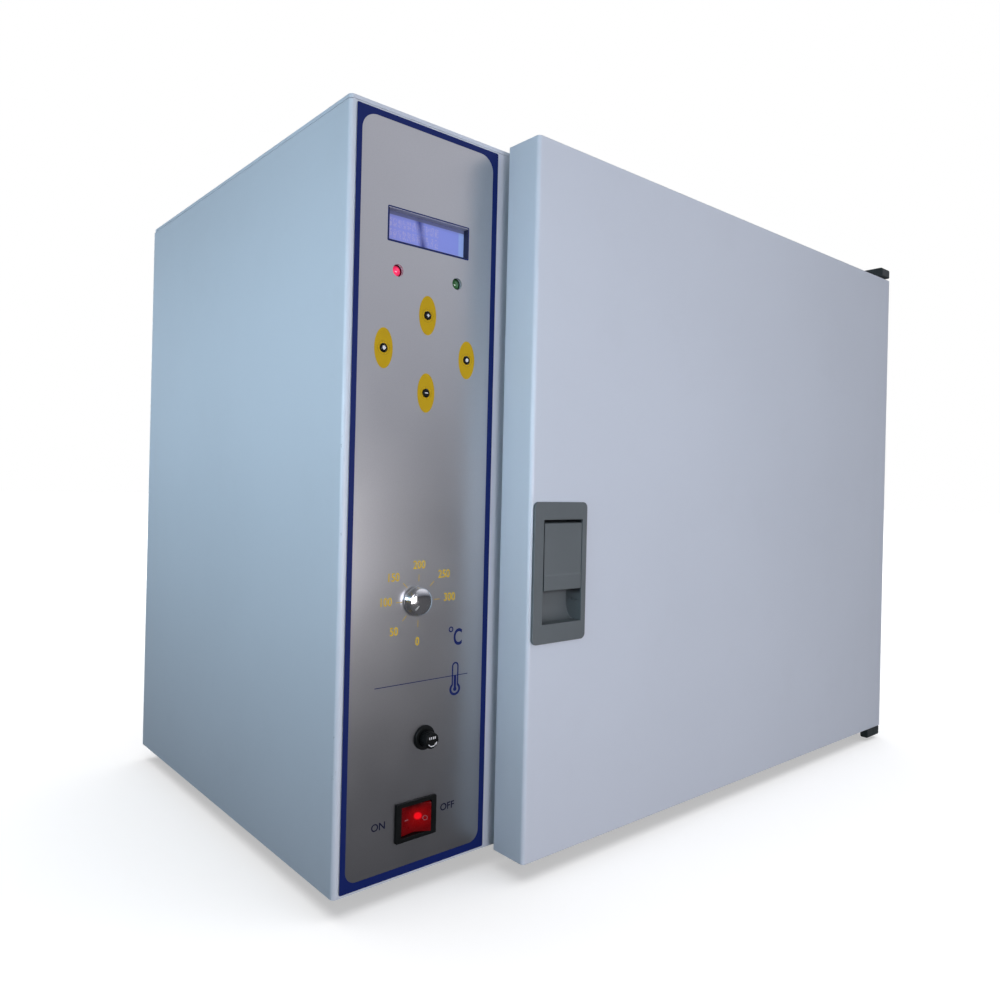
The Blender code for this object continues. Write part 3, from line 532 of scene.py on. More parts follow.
def fillet(pts, radii, n=5, closed=True):
    """Round the corners of an outline. radii is one number or one per point."""
    out, m = [], len(pts)
    for i, p in enumerate(pts):
        r = radii[i] if isinstance(radii, (list, tuple)) else radii
        if r <= 0 or (not closed and i in (0, m - 1)):
            out.append(tuple(p))
            continue
        a, b, c = Vector(pts[i - 1]), Vector(p), Vector(pts[(i + 1) % m])
        u, v = a - b, c - b
        lu, lv = u.length, v.length
        u.normalize()
        v.normalize()
        ang = u.angle(v)
        if ang > math.radians(172):
            out.append(tuple(p))
            continue
        t = min(r / math.tan(ang / 2), 0.48 * lu, 0.48 * lv)
        rr = t * math.tan(ang / 2)
        mid = b + (u + v).normalized() * (rr / math.sin(ang / 2))
        s, e = b + u * t - mid, b + v * t - mid
        a0, a1 = math.atan2(s.y, s.x), math.atan2(e.y, e.x)
        d = (a1 - a0 + math.pi) % (2 * math.pi) - math.pi
        out += [(mid.x + rr * math.cos(a0 + d * k / n), mid.y + rr * math.sin(a0 + d * k / n))
                for k in range(n + 1)]
    return out


def on_axis(axis, c, u, v, t):
    if axis == "Y":
        return P(c[0] + u, t, c[1] + v)
    if axis == "Z":
        return P(c[0] + u, c[1] + v, t)
    return P(t, c[0] + u, c[1] + v)


def lathe(name, profile, axis, centre, seg=48, ring=False, waves=None):
    """Turn a profile of (radius, position). waves is (count, depth) of flutes cut
    into every point wider than the profile's mean radius."""
    mean = sum(r for r, _ in profile) / len(profile)
    bm = bmesh.new()
    rows = []
    for r, t in profile:
        if r < 1e-6:
            rows.append([bm.verts.new(on_axis(axis, centre, 0.0, 0.0, t))])
            continue
        row = []
        for i in range(seg):
            a = 2 * math.pi * i / seg
            q = r
            if waves and r > mean:
                q = r - waves[1] * (0.5 - 0.5 * math.cos(waves[0] * a))
            row.append(bm.verts.new(on_axis(axis, centre, q * math.cos(a), q * math.sin(a), t)))
        rows.append(row)
    pairs = list(zip(rows, rows[1:]))
    if ring:
        pairs.append((rows[-1], rows[0]))
    for a, b in pairs:
        if len(a) == 1 and len(b) == 1:
            continue
        for i in range(seg):
            j = (i + 1) % seg
            if len(a) == 1:
                bm.faces.new((a[0], b[i], b[j]))
            elif len(b) == 1:
                bm.faces.new((a[i], a[j], b[0]))
            else:
                bm.faces.new((a[i], a[j], b[j], b[i]))
    return to_object(bm, name)


def cyl(name, r, axis, centre, t0, t1, seg=32):
    return lathe(name, [(0, t0), (r, t0), (r, t1), (0, t1)], axis, centre, seg)


def bake(ob):
    """Keep what the modifiers make as the object's own mesh."""
    bpy.context.view_layer.update()
    made = bpy.data.meshes.new_from_object(
        ob.evaluated_get(bpy.context.evaluated_depsgraph_get()))
    ob.modifiers.clear()
    old = ob.data
    ob.data = made
    made.name = ob.name
    if old.users == 0:
        (bpy.data.meshes if isinstance(old, bpy.types.Mesh) else bpy.data.curves).remove(old)
    return ob


def combine(ob, others, op):
    for other in others:
        mod = ob.modifiers.new("op", "BOOLEAN")
        mod.operation = op
        mod.object = other
        mod.solver = "EXACT"
        bake(ob)
        bpy.data.objects.remove(other, do_unlink=True)
    return ob


def cut(ob, *others):
    return combine(ob, others, "DIFFERENCE")


def fuse(ob, *others):
    return combine(ob, others, "UNION")


def gather(name, obs):
    """Several separate bodies of one kind as one object."""
    bm = bmesh.new()
    for ob in obs:
        bm.from_mesh(ob.data)
        bpy.data.objects.remove(ob, do_unlink=True)
    me = bpy.data.meshes.new(name)
    bm.to_mesh(me)
    bm.free()
    out = bpy.data.objects.new(name, me)
    bpy.context.scene.collection.objects.link(out)
    return out


def dress(ob, mat, body, hides=(), bevel=0.0, segs=3, limit=50, smooth=40,
          weighted=True):
    if bevel:
        md = ob.modifiers.new("edges", "BEVEL")
        md.width = bevel / 1000.0
        md.segments = segs
        md.limit_method = "ANGLE"
        md.angle_limit = math.radians(limit)
        md.miter_outer = "MITER_ARC"
        bake(ob)
    ob.data.materials.clear()
    ob.data.materials.append(M[mat] if isinstance(mat, str) else mat)
    for p in ob.data.polygons:
        p.material_index = 0
    ob.data.shade_smooth()
    ob.data.set_sharp_from_angle(angle=math.radians(smooth))
    if weighted:
        md = ob.modifiers.new("flats", "WEIGHTED_NORMAL")
        md.keep_sharp = True
        md.weight = 80
    if hides:
        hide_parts(*hides)
    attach(ob, body)
    return ob


def lettering(name, text, x, z, high, mat, body="cabinet", wide=1.0, thick=0.05, y=-0.84,
              bold=0.0):
    """Printed characters on the panel film; high is a capital's height."""
    cu = bpy.data.curves.new(name, "FONT")
    cu.body = text
    cu.size = 1.0
    cu.align_x, cu.align_y = "CENTER", "CENTER"
    cu.offset = bold
    cu.extrude = 0.01
    cu.resolution_u = 6
    ob = bpy.data.objects.new(name, cu)
    bpy.context.scene.collection.objects.link(ob)
    bpy.context.view_layer.update()
    me = bpy.data.meshes.new_from_object(
        ob.evaluated_get(bpy.context.evaluated_depsgraph_get()))
    bpy.data.objects.remove(ob, do_unlink=True)
    xs = [v.co.x for v in me.vertices]
    ys = [v.co.y for v in me.vertices]
    cx, cy = 0.5 * (min(xs) + max(xs)), 0.5 * (min(ys) + max(ys))
    s = high / (max(ys) - min(ys))
    for v in me.vertices:
        front = v.co.z > 0
        v.co = P(x + (v.co.x - cx) * s * wide, y - (thick if front else 0.0), z + (v.co.y - cy) * s)
    ob = bpy.data.objects.new(name, me)
    bpy.context.scene.collection.objects.link(ob)
    bm = bmesh.new()
    bm.from_mesh(me)
    bmesh.ops.remove_doubles(bm, verts=bm.verts, dist=1e-7)
    bmesh.ops.recalc_face_normals(bm, faces=bm.faces)
    bm.to_mesh(me)
    bm.free()
    return dress(ob, mat, body, weighted=False)


def screw(x, y, z, toward, r=3.4, high=1.8, recess=True):
    """Pan head with a cross recess, standing on a face at that point. toward is the
    direction the head faces: +Y, -Y, +Z, -Z, +X or -X."""
    prof = fillet([(0, 0), (r, 0), (r, high * 0.45), (r * 0.72, high), (0, high)],
                  [0, 0.0, 0.5, 0.9, 0], 4, closed=False)
    ob = lathe("screw", prof, "Z", (0.5 * W, YC), seg=24)
    if recess:
        a = r * 0.52
        for p, q in ((a, 0.42), (0.42, a)):
            cut(ob, box("c", 0.5 * W - p, 0.5 * W + p, YC - q, YC + q, high - 0.9, high + 1.0))
    turn = {"+Z": Matrix.Identity(4), "-Z": Matrix.Rotation(math.pi, 4, "X"),
            "-Y": Matrix.Rotation(math.pi / 2, 4, "X"),
            "+Y": Matrix.Rotation(-math.pi / 2, 4, "X"),
            "+X": Matrix.Rotation(math.pi / 2, 4, "Y"),
            "-X": Matrix.Rotation(-math.pi / 2, 4, "Y")}[toward]
    base = P(0.5 * W, YC, 0.0)
    ob.data.transform(Matrix.Translation(P(x, y, z)) @ turn @ Matrix.Translation(-base))
    return ob


# ------------------------------------------------------------------- casing
outer = [(0.0, D)] + arc(BEND, BEND, BEND, 180, 270, 10) + \
    arc(W - BEND, BEND, BEND, 270, 360, 10) + [(W, D)]
inner = [(W - T, D)] + arc(W - BEND, BEND, BEND - T, 360, 270, 10) + \
    arc(BEND, BEND, BEND - T, 270, 180, 10) + [(T, D)]
casing = prism("casing_sheet", outer + inner, "XY", 0.0, 497.1)
cut(casing,
    box("c", CH_X0 - 1.4, CH_X1 + 1.4, -1, 3, CH_Z0 - 1.4, CH_Z1 + 1.4),
    box("c", LCD_X0, LCD_X1, -1, 3, LCD_Z0, LCD_Z1),
    box("c", SW[0] - 14.6, SW[0] + 14.6, -1, 3, SW[1] - 11.2, SW[1] + 11.2),
    box("c", LT_CX - 7.5, LT_CX + 7.5, -1, 3, 195.5, 217.0),
    cyl("c", LED_HOLE_R, "Y", LED_RED, -1, 3), cyl("c", LED_HOLE_R, "Y", LED_GREEN, -1, 3),
    cyl("c", 4.5, "Y", KNOB, -1, 3), cyl("c", 6.6, "Y", FUSE, -1, 3),
    *[cyl("c", KEY_HOLE_R, "Y", c, -1, 3, 24) for c in KEYS.values()])
dress(casing, "paint_casing", "cabinet", ["body_wrap"], bevel=0.25, segs=2,
      limit=60)

lid = prism("lid_pan", rounded(0, W, 0, D, BEND, 8), "XY", 497.4, H)
cut(lid, box("c", T, W - T, T, D - T, 490, H - T))
dress(lid, "paint", "cabinet", ["top_cover"], bevel=0.5, segs=3, limit=60)

tray = prism("base_pan", rounded(1.6, W - 1.6, 1.6, 372.4, 2.0, 5), "XY", 0.4, 16.0)
cut(tray, box("c", 2.8, W - 2.8, 2.8, 371.2, 1.6, 20.0))
for gx in range(9):
    for gy in range(2):
        x = 230.0 + 24.0 * gx
        y = 150.0 + 60.0 * gy
        cut(tray, prism("c", rounded(x, x + 5, y, y + 42, 2.4, 4), "XY", -2, 5))
dress(tray, "paint", "cabinet", ["base_tray"], bevel=0.3, segs=2, limit=60)

rear = box("rear_sheet", 1.5, W - 1.5, D - T, D, 0.4, 497.1)
slots = [prism("c", rounded(30.0, 110.0, 330.0 + 12 * i, 334.0 + 12 * i, 1.9, 4), "XZ", 370, 378)
         for i in range(8)]
cut(rear, box("c", INLET[0] - 14.4, INLET[0] + 14.4, 370, 378, INLET[1] - 10.4, INLET[1] + 10.4),
    cyl("c", 13.4, "Y", VENT, 370, 378), cyl("c", 2.4, "Y", VENT_PIVOT, 370, 378, 20), *slots)
dress(rear, "paint", "cabinet", ["rear_panel"], bevel=0.3, segs=2, limit=60)

# pressed hoods over the ventilation slots
hoods = []
for i in range(8):
    z = 330.0 + 12.0 * i
    prof = [(D + 0.05, z + 5.6)] + arc(D + 0.05, z + 1.6, 3.0, 78, -20, 8, ry=3.9)
    prof += [(a - 0.75 if i_ else a, b) for i_, (a, b) in
             enumerate(reversed(arc(D + 0.05, z + 1.6, 3.0, 60, -20, 8, ry=3.2)))]
    hoods.append(prism("c", prof[:-1] + [(D + 0.05, z + 4.3)], "YZ", 28.0, 112.0))
hood = gather("rear_louvre_hoods", hoods)
dress(hood, "paint", "cabinet", bevel=0.2, segs=2, limit=60)

rear_screws = [screw(x, D, z, "+Y") for x, z in
               ((14, 14), (14, 250), (14, 484), (656, 14), (656, 250), (656, 484), (240, 14),
                (430, 14), (240, 484), (430, 484))]
dress(gather("rear_screws", rear_screws), "zinc_screw", "cabinet", smooth=35)
inlet_screws = [screw(INLET[0] + dx, 376.8, INLET[1], "+Y", 2.4, 1.2) for dx in (-20, 20)]
dress(gather("inlet_screws", inlet_screws), "black_screw", "cabinet", smooth=35)

# ------------------------------------------------------------------ feet
for foot, (fx, fy) in FEET.items():
    prof = fillet([(0, -13.0), (4.4, -13.0), (5.0, -14.0), (11.5, -14.0), (13.6, -2.0),
                   (14.0, 0.1), (0, 0.1)], [0, 0.3, 0.4, 1.6, 0.5, 0.4, 0], 5, closed=False)
    ob = lathe("rubber_foot_" + foot, prof, "Z", (fx, fy), 48)
    dress(ob, "rubber", "cabinet", ["foot_" + foot], weighted=False)

# ------------------------------------------------------------------ door
pan = prism("door_skin",
            [(DR_X0, DR_YR)] + arc(DR_X0 + BEND, DR_YF + BEND, BEND, 180, 270, 10) +
            arc(DR_X1 - BEND, DR_YF + BEND, BEND, 270, 360, 10) + [(DR_X1, DR_YR)],
            "XY", 0.0, H)
cut(pan, box("c", DR_X0 + T, DR_X1 - T, DR_YF + T, 0, T, H - T),
    box("c", 131.2, 175.6, -45, -30, 158.8, 239.8),
    cyl("c", 6.4, "Z", (HG_X, HG_Y), -5, 5), cyl("c", 6.4, "Z", (HG_X, HG_Y), H - 5, H + 5))
dress(pan, "paint", "door", ["door_outer_pan"], bevel=0.5, segs=3, limit=60)

door_screws = [screw(x, -7.4, z, "+Y", 2.6, 0.9) for x in (133.0, 660.5)
               for z in (20.0, 173.0, 327.0, 480.0)]
door_screws += [screw(x, -7.4, z, "+Y", 2.6, 0.9) for x in (260.0, 400.0, 540.0)
                for z in (12.0, 488.0)]
dress(gather("door_panel_screws", door_screws), "zinc_screw", "door", smooth=35)

# ------------------------------------------------------------------ latch
plate = prism("latch_bezel", rounded(LT_X0, LT_X1, LT_Z0, LT_Z1, 4.0, 8), "XZ", -40.6, -38.5)
fuse(plate, box("c", LW_X0 - 1.8, LW_X1 + 1.6, -39.2, -23.0, LW_Z0 - 1.8, LW_Z1 + 1.8))
pocket = [(-50.0, LW_Z0), (-34.5, LW_Z0)] + \
    arc(-34.5, LW_Z0 + 12.0, 9.3, -90, 0, 14, ry=12.0)[1:] + [(-25.2, LW_Z1), (-50.0, LW_Z1)]
cut(plate, prism("c", pocket, "YZ", LW_X0, LW_X1),
    prism("c", [(-36.6, 177.7), (-29.6, 178.0), (-29.6, 178.8), (-36.6, 178.4)], "YZ",
          LW_X1 - 0.5, LW_X1 + 1.1))
dress(plate, "latch_housing", "door", ["latch_housing"], bevel=0.45, segs=3, limit=48)

blade = [(-40.15, 233.5), (-39.0, 234.1), (-32.6, 234.6), (-31.9, 233.0), (-31.9, 227.8),
         (-36.9, 226.8), (-37.3, 191.5), (-38.2, 187.0), (-40.1, 186.7), (-40.55, 187.3),
         (-40.5, 197.0), (-40.2, 198.3), (-40.15, 199.4)]
blade = fillet(blade, [0.4, 0.3, 0.6, 0.4, 0.8, 0.8, 2.0, 0.5, 0.3, 0.3, 0.5, 0.5, 0.5], 4)
paddle = prism("latch_blade", blade, "YZ", LW_X0 + 1.25, LW_X1 - 0.45)
cut(paddle, cyl("c", 1.9, "X", (PADDLE_Y, PADDLE_Z), 120, 190, 24))
dress(paddle, "latch", "paddle", ["latch_paddle"], bevel=0.3, segs=2, limit=60)

# ------------------------------------------------------------------ hinges
top = fillet([(-38.0, 502.8), (1.6, 502.8), (1.6, 500.4), (46.0, 500.4), (46.0, 509.0),
              (42.0, 512.3), (-38.0, 512.3)], [1.0, 0.4, 0.2, 0.5, 2.5, 2.5, 2.2], 5)
bracket = prism("hinge_arm_top", top, "YZ", 650.2, 667.6)
cut(bracket, cyl("c", 4.4, "Z", (HG_X, HG_Y), 495, 520),
    prism("c", rounded(654.0, 663.8, 4.0, 40.0, 2.0, 5), "XY", 511.3, 514.0))
dress(bracket, "hinge", "cabinet", ["hinge_bracket_top"], bevel=0.7, segs=3,
      limit=50)
low = fillet([(-37.6, -0.7), (-37.6, -10.2), (-29.4, -10.2), (-28.6, -4.4), (46.0, -4.4),
              (46.0, -0.7)], [0.5, 1.6, 1.6, 1.2, 0.8, 0.5], 5)
bracket = prism("hinge_arm_bottom", low, "YZ", 641.2, 667.5)
cut(bracket, cyl("c", 4.4, "Z", (HG_X, HG_Y), -8, 5))
dress(bracket, "hinge", "cabinet", ["hinge_bracket_bottom"], bevel=0.5, segs=3,
      limit=50)
hinge_screws = [screw(HG_X, y, 511.3, "+Z", 2.9, 1.0) for y in (12.0, 32.0)]
hinge_screws += [screw(654.5, y, -4.4, "-Z", 2.9, 1.2) for y in (12.0, 32.0)]
dress(gather("hinge_screws", hinge_screws), "black_screw", "cabinet", smooth=35)

# ------------------------------------------------------------ control panel
film = prism("panel_film", rounded(OV_X0, OV_X1, OV_Z0, OV_Z1, 1.0, 4), "XZ", -0.8, -0.3)
cut(film, box("c", LCD_X0, LCD_X1, -3, 2, LCD_Z0, LCD_Z1),
    box("c", SW[0] - 14.6, SW[0] + 14.6, -3, 2, SW[1] - 11.2, SW[1] + 11.2),
    cyl("c", LED_HOLE_R, "Y", LED_RED, -3, 2), cyl("c", LED_HOLE_R, "Y", LED_GREEN, -3, 2),
    cyl("c", 4.5, "Y", KNOB, -3, 2), cyl("c", 6.6, "Y", FUSE, -3, 2),
    *[cyl("c", KEY_HOLE_R, "Y", c, -3, 2, 24) for c in KEYS.values()])
dress(film, "film", "cabinet", ["control_overlay"])

border = prism("panel_border", rounded(OV_X0, OV_X1, OV_Z0, OV_Z1, 1.0, 4), "XZ", -0.86, -0.81)
cut(border, prism("c", rounded(8.3, 114.9, 7.4, 491.8, 11.0, 10, low_r=8.0), "XZ", -3, 2))
dress(border, "navy", "cabinet")

window = prism("display_outline", rounded(LCD_X0 - 0.8, LCD_X1 + 0.8, LCD_Z0 - 0.8, LCD_Z1 + 0.8,
                                          0.9, 3), "XZ", -0.86, -0.81)
cut(window, box("c", LCD_X0, LCD_X1, -3, 2, LCD_Z0, LCD_Z1))
dress(window, "navy", "cabinet")

ovals, rings = [], []
for kx, kz in KEYS.values():
    ob = prism("c", arc(kx, kz, 6.95, 0, 360, 56, ry=13.1)[:-1], "XZ", -0.86, -0.81)
    ovals.append(cut(ob, cyl("c", KEY_HOLE_R, "Y", (kx, kz), -3, 2, 24)))
    rings.append(lathe("c", [(4.25, -0.90), (4.65, -0.90), (4.65, -0.87), (4.25, -0.87)], "Y",
                       (kx, kz), 48, ring=True))
dress(gather("key_ovals", ovals), "mustard", "cabinet")
dress(gather("key_rings", rings), "mustard_line", "cabinet")

for text, x, z in (("0", 58.9, 154.5), ("50", 40.3, 162.7), ("100", 33.9, 182.3),
                   ("150", 39.4, 198.0), ("200", 59.2, 205.4), ("250", 79.8, 198.4),
                   ("300", 84.9, 182.4)):
    lettering("dial_" + text, text, x, z, 5.6, "yellow", wide=0.86, bold=0.012)
DIAL = (59.1, 181.4)
ticks = []
for a in (-90, -135, 180, 135, 90, 45, 0):
    ca, sa = math.cos(math.radians(a)), math.sin(math.radians(a))
    quad = [(12.9, -0.2), (17.6, -0.2), (17.6, 0.2), (12.9, 0.2)]
    ticks.append(prism("c", [(DIAL[0] + r * ca - s * sa, DIAL[1] + r * sa + s * ca)
                             for r, s in quad], "XZ", -0.86, -0.81))
dress(gather("dial_ticks", ticks), "yellow", "cabinet")

lettering("unit_c", "C", 92.9, 154.0, 11.6, "navy", wide=0.70, bold=0.022)
degree = lathe("unit_degree", [(1.15, -0.86), (2.0, -0.86), (2.0, -0.81), (1.15, -0.81)], "Y",
               (86.9, 159.6), 32, ring=True)
dress(degree, "navy", "cabinet")

rule = box("rule_line", 26.6, 102.2, -0.86, -0.81, 127.25, 127.75)
dress(rule, "navy", "cabinet")

# thermometer: a parallel tube with a round end, a shoulder, a bulb and a filled column
tx = 91.35


def thermometer(half, shoulder, rx, rz):
    a = math.degrees(math.asin(shoulder / rz))
    return arc(tx, 133.9, half, 0, 180, 14) + [(tx - half, 118.1 + shoulder + 1.0)] + \
        arc(tx, 118.1, rx, 180 - a, 360 + a, 34, ry=rz) + [(tx + half, 118.1 + shoulder + 1.0)]


tube = prism("thermometer_mark", thermometer(2.85, 2.6, 4.65, 4.4), "XZ", -0.87, -0.81)
cut(tube, prism("c", thermometer(1.75, 1.7, 2.95, 2.75), "XZ", -2, 0))
fuse(tube, prism("c", arc(tx, 118.1, 1.45, 132, 408, 22) + [(tx + 0.97, 127.6), (tx - 0.97, 127.6)],
                 "XZ", -0.87, -0.81))
dress(tube, "navy", "cabinet")

lettering("mark_on", "ON", 31.7, 38.2, 4.9, "ink_dark", wide=1.02, bold=0.014)
lettering("mark_off", "OFF", 87.1, 38.5, 4.9, "ink_dark", wide=1.02, bold=0.014)

# display, set back behind its window
surround = box("display_surround", LCD_X0 - 3, LCD_X1 + 3, 1.3, 3.5, LCD_Z0 - 3, LCD_Z1 + 3)
fuse(surround, box("c", LCD_X0 + 0.06, LCD_X1 - 0.06, -0.80, 2.0, LCD_Z0 + 0.06, LCD_Z1 - 0.06))
cut(surround, box("c", LCD_X0 + 0.5, LCD_X1 - 0.5, -3, 5, LCD_Z0 + 0.5, LCD_Z1 - 0.5))
dress(surround, "recess", "cabinet")
screen = box("display_screen", LCD_X0 - 1, LCD_X1 + 1, 4.2, 5.8, LCD_Z0 - 0.8, LCD_Z1 + 0.8)
dress(screen, "screen", "cabinet", ["lcd_glass"], bevel=0.15, segs=2)

for name, (lx, lz) in (("led_red", LED_RED), ("led_green", LED_GREEN)):
    dome = [(0, -0.25)] + [(3.8 * math.sin(math.radians(a)),
                            3.35 - 3.6 * math.cos(math.radians(a))) for a in range(8, 91, 8)] + \
        [(3.8, 10.0), (4.4, 10.2), (4.4, 11.6), (0, 11.6)]
    ob = lathe(name + "_lens", dome, "Y", (lx, lz), 40)
    dress(ob, name, "cabinet", [name], weighted=False)

for key, (kx, kz) in KEYS.items():
    prof = fillet([(0, -1.55), (2.1, -1.5), (2.6, -1.1), (2.6, 1.6), (3.8, 1.6), (3.8, 2.6),
                   (1.5, 2.6), (1.5, 5.8), (0, 5.8)], [0, 0.3, 0.35, 0, 0.1, 0.1, 0, 0.1, 0], 4,
                  closed=False)
    ob = lathe("button_" + key, prof, "Y", (kx, kz), 40)
    dress(ob, "black", key + "_key", ["key_" + key], weighted=False)
    if key in ("plus", "minus"):
        mark = box("button_mark_" + key, kx - 1.25, kx + 1.25, -1.66, -1.5, kz - 0.32, kz + 0.32)
        if key == "plus":
            fuse(mark, box("c", kx - 0.32, kx + 0.32, -1.66, -1.5, kz - 1.25, kz + 1.25))
    else:
        mark = cyl("button_mark_" + key, 1.25, "Y", (kx, kz), -1.66, -1.5, 32)
    dress(mark, "white", key + "_key", bevel=0.04, segs=2)

# thermostat knob: low domed chrome cap on a collar
dome = [(0.0, -8.0)] + [(8.9 * math.sin(math.radians(a)),
                         -8.0 + 1.3 * (1 - math.cos(math.radians(a)))) for a in range(10, 91, 10)]
prof = dome + [(9.05, -6.3), (9.25, -5.6), (9.35, -3.3), (9.75, -2.9), (10.1, -2.5),
               (10.1, -1.6), (9.7, -1.1), (3.3, -1.1), (3.3, -4.8), (0.0, -4.8)]
knob = lathe("dial_knob", prof, "Y", KNOB, 72)
dress(knob, "chrome", "knob", ["thermostat_knob"], weighted=False, smooth=55)
# the knob's real indicator line, coloured pale as a painted glint
ca, sa = math.cos(math.radians(225)), math.sin(math.radians(225))
line = [(3.4, -0.38), (7.2, -0.38), (7.2, 0.38), (3.4, 0.38)]
groove = prism("dial_pointer", [(KNOB[0] + r * ca - s * sa, KNOB[1] + r * sa + s * ca)
                                for r, s in line], "XZ", -8.02, -6.9)
dress(groove, "pointer", "knob", bevel=0.1, segs=2)

# fuse holder with a fluted cap
prof = fillet([(4.6, -3.0), (7.5, -3.0), (8.2, -2.3), (8.2, -1.1), (6.2, -1.1), (6.2, 1.5),
               (8.8, 1.5), (8.8, 5.0), (6.2, 5.0), (6.2, 38), (0.1, 38), (0.1, 36), (4.6, 36)],
              [0.3, 0.6, 0.5, 0.2, 0, 0, 0.3, 0.3, 0, 0.3, 0, 0, 0], 4)
holder = lathe("fuse_socket", prof, "Y", FUSE, 48, ring=True)
dress(holder, "black", "cabinet", ["fuse_holder_body"], weighted=False)
prof = [(0, -10.7), (3.9, -10.75), (4.7, -10.9), (5.15, -10.7), (5.45, -10.2), (5.5, -9.4),
        (5.5, -4.6), (5.35, -3.6), (5.0, -3.3), (0, -3.3)]
cap = lathe("fuse_knob", prof, "Y", FUSE, 96, waves=(24, 0.28))
cut(cap, box("c", FUSE[0] - 3.2, FUSE[0] + 3.2, -12.0, -10.2, FUSE[1] - 0.55, FUSE[1] + 0.55))
dress(cap, "black", "fuse_turn_cap", ["fuse_cap"], smooth=45)
marks = []
for a0, a1 in ((215, 325),):
    pts = arc(FUSE[0], FUSE[1], 3.9, a0, a1, 14) + list(reversed(
        arc(FUSE[0], FUSE[1], 3.35, a0, a1, 14)))
    marks.append(prism("c", pts, "XZ", -10.86, -10.62))
marks.append(prism("c", [(FUSE[0] + 3.9, FUSE[1] - 1.0), (FUSE[0] + 2.0, FUSE[1] - 2.1),
                         (FUSE[0] + 3.6, FUSE[1] - 3.2)], "XZ", -10.86, -10.62))
for dx in (-2.2, -0.8, 0.8, 2.2):
    marks.append(box("c", FUSE[0] + dx - 0.35, FUSE[0] + dx + 0.35, -10.86, -10.62,
                     FUSE[1] + 1.0, FUSE[1] + 2.6))
dress(gather("fuse_knob_marks", marks), "white", "fuse_turn_cap")

# rocker switch
bezel = prism("switch_frame", rounded(SW[0] - 16.1, SW[0] + 16.1, SW[1] - 12.9, SW[1] + 12.9,
                                      0.8, 4), "XZ", -3.0, -1.1)
fuse(bezel, box("c", SW[0] - 14.1, SW[0] + 14.1, -2.0, 26.0, SW[1] - 10.8, SW[1] + 10.8))
cut(bezel, box("c", SW[0] - 11.9, SW[0] + 11.9, -5, 12.0, SW[1] - 10.0, SW[1] + 10.0))
dress(bezel, "black", "cabinet", ["switch_housing"], bevel=0.5, segs=3, limit=60)
TILT = math.radians(-11.0)


def tilted(a, b):
    return (SW[0] + a * math.cos(TILT) - b * math.sin(TILT),
            a * math.sin(TILT) + b * math.cos(TILT))


def face(a):
    """The rocker's face, dished to the middle, before it is tilted."""
    return 0.3 - 3.6 * (abs(a) / 11.0) ** 1.12


shape = []
for i in range(17):
    a = -11.0 + 11.0 * 2 * i / 16.0
    shape.append((a, face(a)))
shape = fillet(shape + [(11.3, 0.0), (9.0, 4.5), (3.0, 7.0), (-3.0, 7.0), (-9.0, 4.5),
                        (-11.3, 0.0)], [0.7] + [0] * 15 + [0.7] + [0.8] * 6, 3)
rocker = prism("rocker_cap", [tilted(a, b) for a, b in shape], "XY", SW[1] - 9.6, SW[1] + 9.6)
dress(rocker, "rocker", "rocker", ["switch_rocker"], bevel=0.35, segs=3, limit=60)


def on_rocker(pts, plane_a, lift):
    """A thin printed mark on the rocker's face, from points (across, up)."""
    bm = bmesh.new()
    rows = []
    for h in (lift, lift + 0.07):
        row = []
        for a, b in pts:
            q = plane_a + a
            x, y = tilted(q, face(q) - h)
            row.append(bm.verts.new(P(x, y, SW[1] + b)))
        rows.append(row)
    n = len(pts)
    bm.faces.new(rows[0])
    bm.faces.new(list(reversed(rows[1])))
    for i in range(n):
        j = (i + 1) % n
        bm.faces.new((rows[0][j], rows[0][i], rows[1][i], rows[1][j]))
    return to_object(bm, "c")


bar = on_rocker([(-1.5, -0.3), (1.5, -0.3), (1.5, 0.3), (-1.5, 0.3)], -6.4, 0.02)
bm = bmesh.new()
rows = []
for r, h in ((1.25, 0.02), (1.65, 0.02), (1.65, 0.09), (1.25, 0.09)):
    row = []
    for i in range(32):
        t = 2 * math.pi * i / 32
        q = 7.0 + r * math.cos(t)
        x, y = tilted(q, face(q) - h)
        row.append(bm.verts.new(P(x, y, SW[1] - 0.5 + r * math.sin(t))))
    rows.append(row)
for i in range(4):
    a, b = rows[i], rows[(i + 1) % 4]
    for s in range(32):
        t = (s + 1) % 32
        bm.faces.new((a[s], a[t], b[t], b[s]))
dress(gather("rocker_marks", [bar, to_object(bm, "c")]), "rocker_ink", "rocker")

# ------------------------------------------------- CAD nodes that stay as they are
KEEP = {
    "bulkhead": "galvanised", "striker_box": "galvanised", "chamber_liner": "stainless_y",
    "chamber_insulation": "wool", "door_insulation": "wool", "air_baffle": "stainless_x",
    "shelf_rack_left": "stainless_y", "shelf_rack_right": "stainless_y",
    "shelf_lower": "stainless_x", "shelf_upper": "stainless_x", "heater_element": "sheath",
    "fan_wheel": "stainless_x", "fan_shaft": "pin", "fan_motor": "aluminium",
    "temperature_probe": "stainless_y", "thermostat_bulb": "stainless_y",
    "vent_tube": "stainless_y", "vent_cover": "stainless_x", "door_gasket": "silicone",
    "door_inner_panel": "stainless_z", "latch_pivot_pin": "pin", "latch_hook": "pin",
    "hinge_bush_top": "bronze", "hinge_bush_bottom": "bronze", "hinge_pin_top": "pin",
    "hinge_pin_bottom": "pin", "lcd_module": "black_matt", "control_board": "board",
    "thermostat_shaft": "pin", "thermostat_body": "ceramic", "fuse_carrier": "black",
    "fuse_cartridge": "glass", "power_inlet": "black_matt", "heater_relay": "aluminium"}
for node, mat in KEEP.items():
    NODES[node].data.materials.clear()
    NODES[node].data.materials.append(M[mat])

